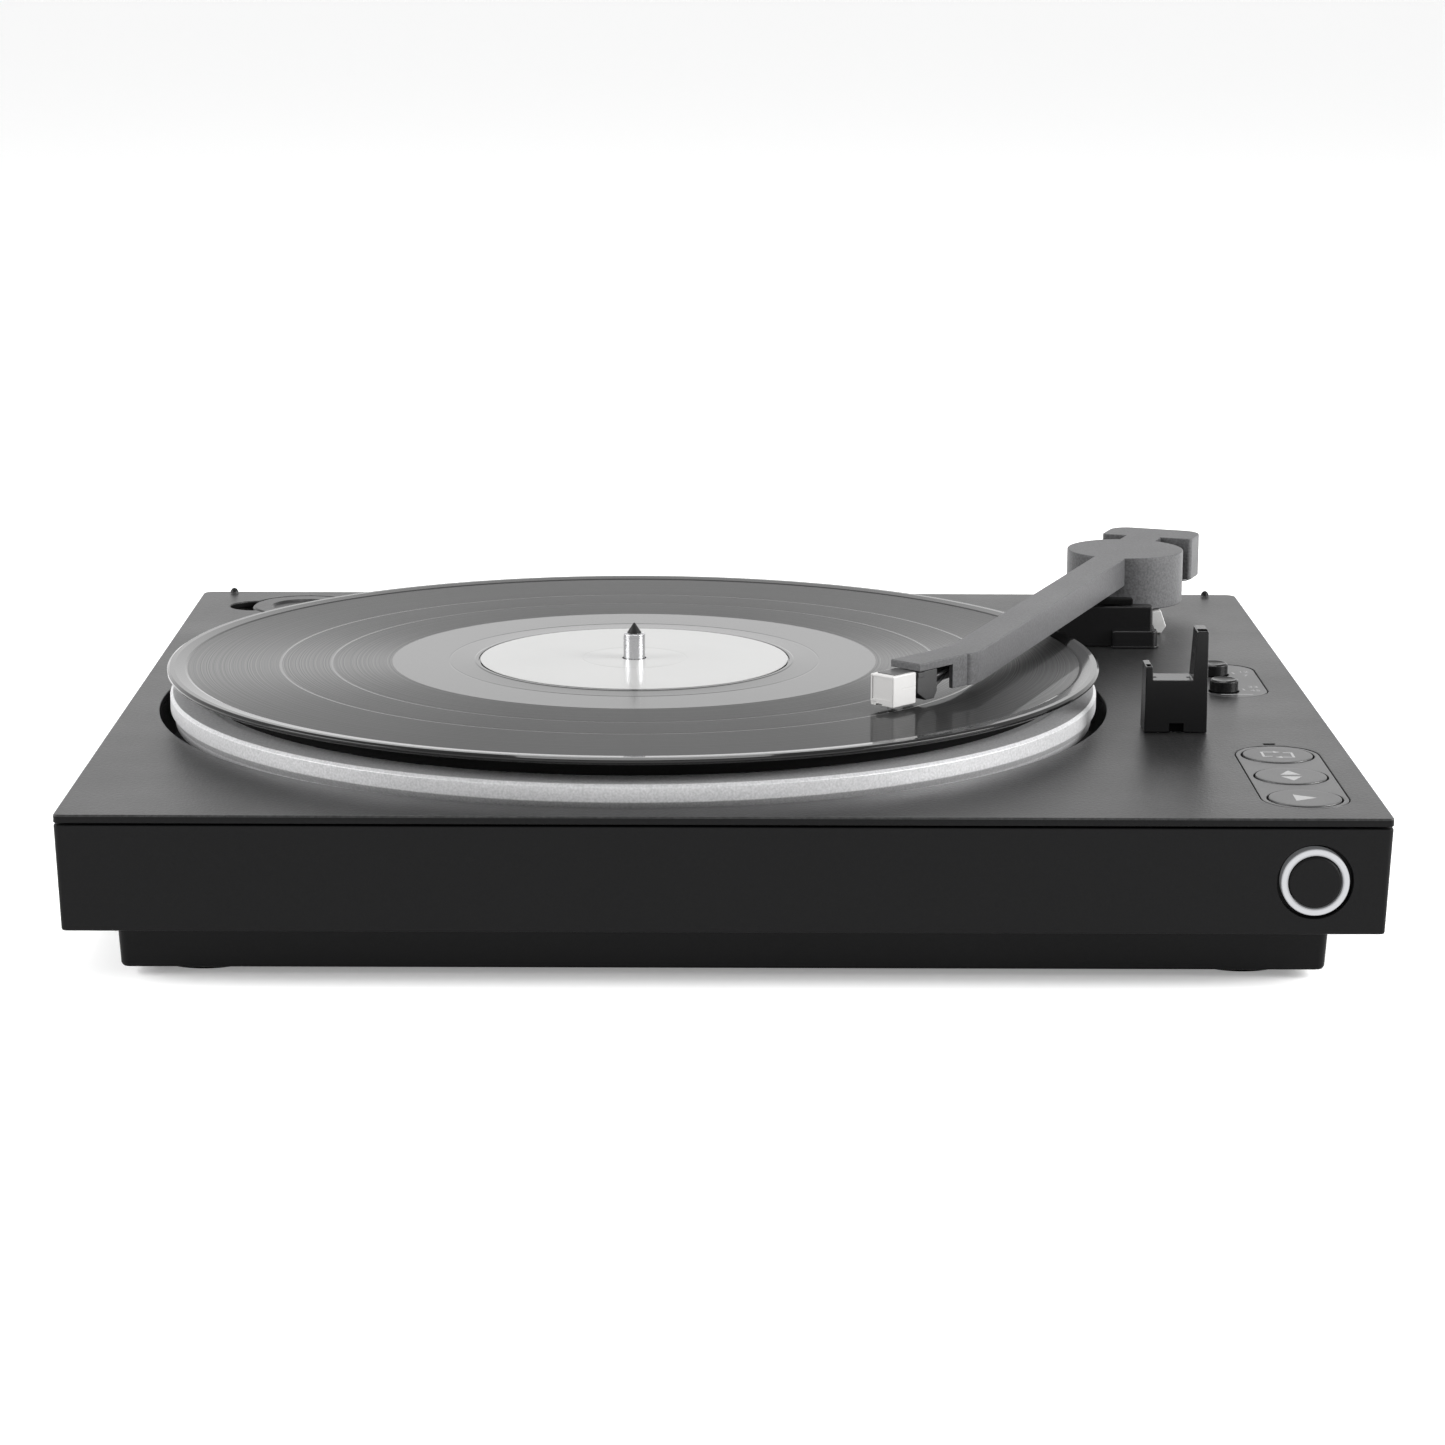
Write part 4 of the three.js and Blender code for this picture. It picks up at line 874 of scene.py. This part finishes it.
LEAD_STEPS = 12
LEAD_STARTS = ((-2.4, 21.4), (-0.8, 21.4), (0.8, 21.4), (2.4, 21.4), (-1.6, 18.4), (1.6, 18.4))


def make_leads():
    leads = Shape(HEAD)
    for right, z in LEAD_STARTS:
        points = []
        for i in range(LEAD_STEPS + 1):
            t = i / LEAD_STEPS
            ease = t * t * (3 - 2 * t)
            points.append(Vector((-19.4 - 12 * t, right * (1 - 0.6 * ease), z + (23 - z) * ease)))
        leads.tube(points, 0.6)
    leads.make("lead_wires", "panel_plastic", "cartridge_leads")


def make_weight_screw():
    low, high = limits("counterweight_screw")
    profile = [
        (0, low.z), (2.3, low.z, 0.3), (2.9, low.z + 0.4, 0.2), (2.9, low.z + 1.4, 0.2),
        (1.8, low.z + 1.5), (1.8, high.z), (0, high.z),
    ]
    screw = Shape().turned(profile, middle("counterweight_screw").xy, 48)
    screw.make("weight_screw", "steel", "counterweight_screw")


def make_arm_base():
    low, high = limits("arm_base")
    outline = rectangle((low.x, high.x), (low.y, high.y), (3, 3, 8, 8), 8)
    base = Shape().slab(outline, low.z, high.z, (0.2, 0.7), [circle(ARM_PIVOT.xy, 4.6, 48)])
    base.make("arm_base_moulding", "black_plastic", "arm_base")


def make_lifter():
    low, high = limits("lifter_housing")
    lifter = Shape()
    wall = rectangle((low.x, high.x - 1.6), (low.y + 3, high.y), (1, 1.2, 2, 2))
    lifter.slab(wall, low.z, high.z, (0.1, 0.5), [circle(LIFT_ROD.xy, 1.8, 24)])
    step = rectangle((136.2, high.x), (low.y, low.y + 7), (0.9, 2.4, 2.4, 0.9), 8)
    lifter.slab(step, low.z, 6.1, (0.1, 0.5))
    flange = rectangle((135.6, high.x + 0.5), (low.y - 0.5, low.y + 7.4), (1.2, 2.8, 2.8, 1.2), 8)
    lifter.slab(flange, low.z, 0.9, (0, 0.3))
    lifter.make("lifter_moulding", "black_plastic", "lifter_housing")

    low, high = limits("lift_bar")
    rubber = Shape().box((low.x, high.x), (low.y, high.y), (low.z, high.z), 0.5)
    rubber.make("lift_bar_rubber", "mat_rubber", "lift_bar")


def make_arm_stop():
    low, high = limits("arm_stop")
    profile = rounded([
        (low.x, low.z), (156.2, low.z, 0.4), (high.x, 2.8, 0.6), (155.9, 8.4, 0.5), (low.x, 7.9, 0.3),
    ])
    stop = Shape().slab(profile, -high.y, -low.y, (0.3, 0.3), place=UPRIGHT)
    stop.make("arm_stop_block", "pale_plastic", "arm_stop")


def make_arm_rest():
    low, high = limits("arm_rest")
    seat, prong = 17, 21.3
    outline = rounded([
        (low.x, low.z), (high.x, low.z), (high.x - 0.2, high.z, 0.5), (148.4, high.z, 0.5),
        (147.4, seat, 0.4), (134.9, seat, 0.4), (134.6, prong, 0.3), (low.x + 0.2, prong, 0.3),
    ])
    rest = Shape().slab(outline, -high.y, -low.y, (0.35, 0.35), place=UPRIGHT)
    pocket_y = (low.y + 0.7, low.y + 4.6)
    cutters = [
        Shape().box((140.2, 144.8), (low.y - 1, low.y + 7), (-1, 3.3), 0.1),
        Shape().box((148.6, high.x - 0.35), pocket_y, (high.z - 3, high.z + 1), 0.1),
        Shape().box((low.x + 0.5, 134.4), pocket_y, (prong - 3, prong + 1), 0.1),
    ]
    for x in ((135.2, 136.4), (145.8, 147.0)):
        cutters.append(Shape().box(x, (low.y + 4.4, low.y + 6), (seat - 1, seat + 1), 0.05))
    rest.make("arm_rest_post", "black_plastic", "arm_rest", cutters=cutters)
    # A matte black sheet just inside the slot at the foot of the rest: painted shade that stands in for the
    # dark of the opening.
    slot_shade_sheet = Shape().box((140.0, 145.0), (low.y + 0.9, low.y + 1.6), (low.z + 0.1, 3.5), 0.1)
    slot_shade_sheet.make("arm_rest_shade_sheet", "off_lamp_and_shade_black", "arm_rest")


def make_adapter():
    low, high = limits("adapter_45")
    radius = (high.x - low.x) / 2
    profile = [
        (3.8, low.z), (radius, low.z, 0.3), (radius, high.z - 0.6, 0.4), (radius - 0.8, high.z, 0.4),
        (12, high.z, 0.3), (11.2, high.z - 0.8, 0.3), (3.8, high.z - 0.8, 0.2),
    ]
    turned_piece("adapter_disc", "deck_plastic", "adapter_45", profile, 128)


# ---- controls --------------------------------------------

PRINT_SUNK, PRINT_PROUD = 0.02, 0.03


def print_marks(name, outlines, z, body):
    """Thin printed marks that lie on a surface at height z."""
    marks = Shape()
    for outline in outlines:
        marks.slab(outline, z - PRINT_SUNK, z + PRINT_PROUD, (0, 0))
    return marks.make(name, "print", body=body, slot="pale_plastic")


def selector_top():
    return limits("selector_panel")[1].z + PANEL_RISE


def around(centre, *points):
    """The points of an outline given from its centre."""
    return [Vector((centre.x + x, centre.y + y)) for x, y in points]


def loop_icon(centre):
    """Two bent arrows that chase each other round a rectangle."""
    wide, tall, stroke = 4.9, 3.9, 0.75
    shapes = []
    foot = -tall + stroke * 1.4
    inner = stroke - wide
    for side in (1, -1):
        bracket = [
            (-0.9, tall), (-wide, tall), (-wide, foot), (-1.9, foot), (-1.9, foot + stroke),
            (inner, foot + stroke), (inner, tall - stroke), (-0.9, tall - stroke),
        ]
        head = [(-0.9, tall + 0.9), (1.2, tall - stroke / 2), (-0.9, tall - stroke - 0.9)]
        for points in (bracket, head):
            shapes.append(around(centre, *[(side * x, side * y) for x, y in points]))
    return shapes


def make_buttons():
    low, high = limits("button_panel")
    holes = [circle(centre.xy, 11.25, 96) for centre in BUTTONS.values()]
    panel = Shape().slab(panel_outline("button_panel"), low.z, high.z + PANEL_RISE, (0.1, 0.25), holes)
    panel.make("button_surround", "panel_plastic", "button_panel")
    for node, centre in BUTTONS.items():
        low, high = limits(node)
        radius = (high.x - low.x) / 2
        profile = [
            (0, low.z), (2, low.z), (2, high.z - 3.4), (radius, high.z - 3.4), (radius, high.z - 0.02, 0.35),
            (radius - 1.6, high.z, 0.3), (0, high.z - 0.05),
        ]
        Shape().turned(profile, centre.xy, 128).make(f"{node}_cap", "panel_plastic", node)
    repeat, lift, start = BUTTONS.values()
    top = limits("start_button")[1].z - 0.04
    print_marks("repeat_icon", loop_icon(repeat), top, BODY_OF["repeat_button"])
    lift_marks = [
        around(lift, (-3.1, 1.1), (3.1, 1.1), (0, 6.8)),
        around(lift, (-3.1, -1.1), (3.1, -1.1), (0, -6.4)),
    ]
    print_marks("lift_icon", lift_marks, top, BODY_OF["lift_button"])
    play = around(start, (-3.1, 4.0), (-3.1, -4.0), (3.5, 0))
    print_marks("start_icon", [play], top, BODY_OF["start_button"])


def number(text, x, y, size):
    """Printed digits, as one flat piece."""
    data = bpy.data.curves.new(f"digits_{text}", "FONT")
    data.body = text
    data.size = size * MM
    data.extrude = PRINT_SUNK * MM
    data.align_x = "CENTER"
    data.align_y = "CENTER"
    writing = add_object(f"writing_{text}", data)
    depsgraph = bpy.context.evaluated_depsgraph_get()
    mesh = bpy.data.meshes.new_from_object(writing.evaluated_get(depsgraph))
    bpy.data.objects.remove(writing)
    piece = add_object(f"digits_{text}", mesh)
    piece.location = (x * MM, y * MM, (selector_top() + DECK_HEIGHT) * MM)
    piece.data.materials.clear()
    piece.data.materials.append(LOOKS["print"])
    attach(piece, BODY_OF["selector_panel"])


def make_selectors():
    low, high = limits("selector_panel")
    holes = [circle(centre.xy, 5.1, 64) for centre in SELECTORS.values()]
    panel = Shape().slab(panel_outline("selector_panel"), low.z, high.z + PANEL_RISE, (0.1, 0.25), holes)
    panel.make("selector_surround", "panel_plastic", "selector_panel")
    for node, centre in SELECTORS.items():
        low, high = limits(node)
        radius = (high.x - low.x) / 2
        profile = [
            (0, low.z), (radius - 0.3, low.z), (radius - 0.3, 0), (radius, 0.3), (radius, high.z - 0.5, 0.35),
            (radius - 0.7, high.z, 0.3), (3.1, high.z - 0.25, 0.6), (0, high.z - 0.75),
        ]
        Shape().turned(profile, centre.xy, 96).make(f"{node}_cap", "black_plastic", node)
        dash = around(centre, (6.4, 3.4), (7.0, 3.4), (7.4, 0.6), (6.8, 0.6))
        print_marks(f"{node}_dash", [dash], selector_top(), BODY_OF["selector_panel"])
    size, speed = SELECTORS.values()
    for text, centre, y in (("12", size, 4.2), ("7", size, -1.8), ("33", speed, 6.4), ("45", speed, 0.6)):
        number(text, centre.x + 10.6, centre.y + y, 3.6)
    rule = rectangle((speed.x - 1.6, speed.x + 9), (speed.y - 6.2, speed.y - 5.6))
    print_marks("selector_rule", [rule], selector_top(), BODY_OF["selector_panel"])


def make_power():
    low, high = limits("power_button")
    radius = (high.x - low.x) / 2
    place = along_y(POWER.x, POWER.z)
    profile = [
        (0, low.y), (radius - 0.6, low.y, 0.3), (radius, low.y + 0.35, 0.3), (radius, high.y), (0, high.y),
    ]
    Shape().turned(profile, steps=128, place=place).make("power_cap", "body_plastic", "power_button")
    low, high = limits("light_ring")
    outer = (high.x - low.x) / 2
    ring = [(radius + 0.3, low.y, 0.2), (outer, low.y, 0.5), (outer, high.y), (radius + 0.3, high.y)]
    Shape().turned(ring, steps=160, place=place).make("power_glow", "light", "light_ring")
    low, high = limits("status_light")
    lens = Shape().box((low.x, high.x), (low.y, high.y), (low.z, high.z), 0.15)
    lens.make("status_lens", "off_lamp_and_shade_black", "status_light")


def make_sockets():
    for node, collar in (("rca_jack_left", "white_plastic"), ("rca_jack_right", "red_plastic")):
        low, high = limits(node)
        centre = middle(node)
        place = along_y(centre.x, centre.z)
        sleeve = [
            (1.6, low.y + 10), (1.6, high.y - 0.3, 0.2), (3.2, high.y, 0.2), (4.15, high.y, 0.2),
            (4.15, high.y - 7.8), (5.2, high.y - 8), (5.2, low.y, 0.4), (0.6, low.y), (0.6, low.y + 10),
        ]
        Shape().turned(sleeve, steps=64, place=place).make(f"{node}_sleeve", "steel", node)
        ring = [(4.2, high.y - 8), (5.1, high.y - 8, 0.2), (5.1, high.y - 6.4, 0.3), (4.2, high.y - 6.4)]
        Shape().turned(ring, steps=64, place=place).make(
            f"{node}_collar", collar, body=BODY_OF[node], slot="white_plastic")


def dress_frame():
    """Gives every CAD node that still shows the finish of its material slot."""
    for node, shown in frame["nodes"].items():
        shown.data.materials.clear()
        shown.data.materials.append(LOOKS[SLOT_OF[node]])


# ---- studio ----------------------------------------------
CAMERA_PLACE = Vector((-6.2, -1281.4, 319.8))
CAMERA_YAW = math.radians(0.29)
CAMERA_PITCH = math.radians(12.263)
CAMERA_ROLL = math.radians(0.245)
FOCAL_LENGTH = 98.87
# In metres, as are the places and sizes of the lights.
LIT_POINT = Vector((0, 0, 0.05))


def make_camera():
    data = bpy.data.cameras.new("camera")
    data.lens = FOCAL_LENGTH
    data.sensor_width = 36
    data.clip_start = 0.01
    data.clip_end = 60
    camera = add_object("camera", data)
    heading = Matrix.Rotation(-CAMERA_YAW, 4, "Z")
    tilt = Matrix.Rotation(math.pi / 2 - CAMERA_PITCH, 4, "X")
    roll = Matrix.Rotation(CAMERA_ROLL, 4, "Z")
    camera.matrix_world = Matrix.Translation(CAMERA_PLACE * MM) @ heading @ tilt @ roll
    bpy.context.scene.camera = camera


def make_floor():
    half = 20.0
    data = bpy.data.meshes.new("floor")
    corners = [(-half, -half, 0), (half, -half, 0), (half, half, 0), (-half, half, 0)]
    data.from_pydata(corners, [], [(0, 1, 2, 3)])
    floor = add_object("floor", data)
    paper = moulded("floor_paper", (0.88, 0.88, 0.88), 0.8, 400, 0.01, 0.01, 0.2)
    glow = paper.node_tree.nodes["Principled BSDF"].inputs
    glow["Emission Color"].default_value = (1, 1, 1, 1)
    glow["Emission Strength"].default_value = 0.25
    data.materials.append(paper)


def area_light(name, place, size, watts):
    """A softbox that faces the middle of the deck."""
    data = bpy.data.lights.new(name, "AREA")
    data.shape = "RECTANGLE"
    data.size, data.size_y = size
    data.energy = watts
    light = add_object(name, data)
    light.location = place
    light.rotation_euler = (LIT_POINT - Vector(place)).to_track_quat("-Z", "Y").to_euler()
    light.visible_camera = False


def make_studio():
    """A white room, brighter near the horizon, with a softbox on each side and one above."""
    world = bpy.data.worlds.new("studio")
    world.use_nodes = True
    tree = world.node_tree
    backdrop = tree.nodes["Background"]
    backdrop.inputs["Color"].default_value = (1, 1, 1, 1)
    direction = tree.nodes.new("ShaderNodeTexCoord")
    split = tree.nodes.new("ShaderNodeSeparateXYZ")
    tree.links.new(direction.outputs["Generated"], split.inputs["Vector"])
    fade = tree.nodes.new("ShaderNodeMapRange")
    fade.interpolation_type = "SMOOTHSTEP"
    for key, value in (("From Min", 0.17), ("From Max", 0.5), ("To Min", 1.5), ("To Max", 0.66)):
        fade.inputs[key].default_value = value
    tree.links.new(split.outputs["Z"], fade.inputs["Value"])
    tree.links.new(fade.outputs["Result"], backdrop.inputs["Strength"])
    bpy.context.scene.world = world
    bpy.context.scene.view_settings.view_transform = "Standard"
    area_light("left_softbox", (-1.5, -0.35, 0.7), (1.0, 0.7), 26)
    area_light("right_softbox", (1.5, -0.35, 0.7), (1.0, 0.7), 42)
    area_light("top_softbox", (0, 0.3, 1.9), (0.9, 0.6), 14)


make_camera()
make_floor()
make_studio()
dress_frame()
make_deck()
make_plinth()
make_tray()
make_feet()
make_cover_pins()
make_platter()
make_mat()
make_record()
make_spindle()
make_arm()
make_cartridge()
make_stylus()
make_leads()
make_weight_screw()
make_arm_base()
make_lifter()
make_arm_stop()
make_arm_rest()
make_adapter()
make_buttons()
make_selectors()
make_power()
make_sockets()
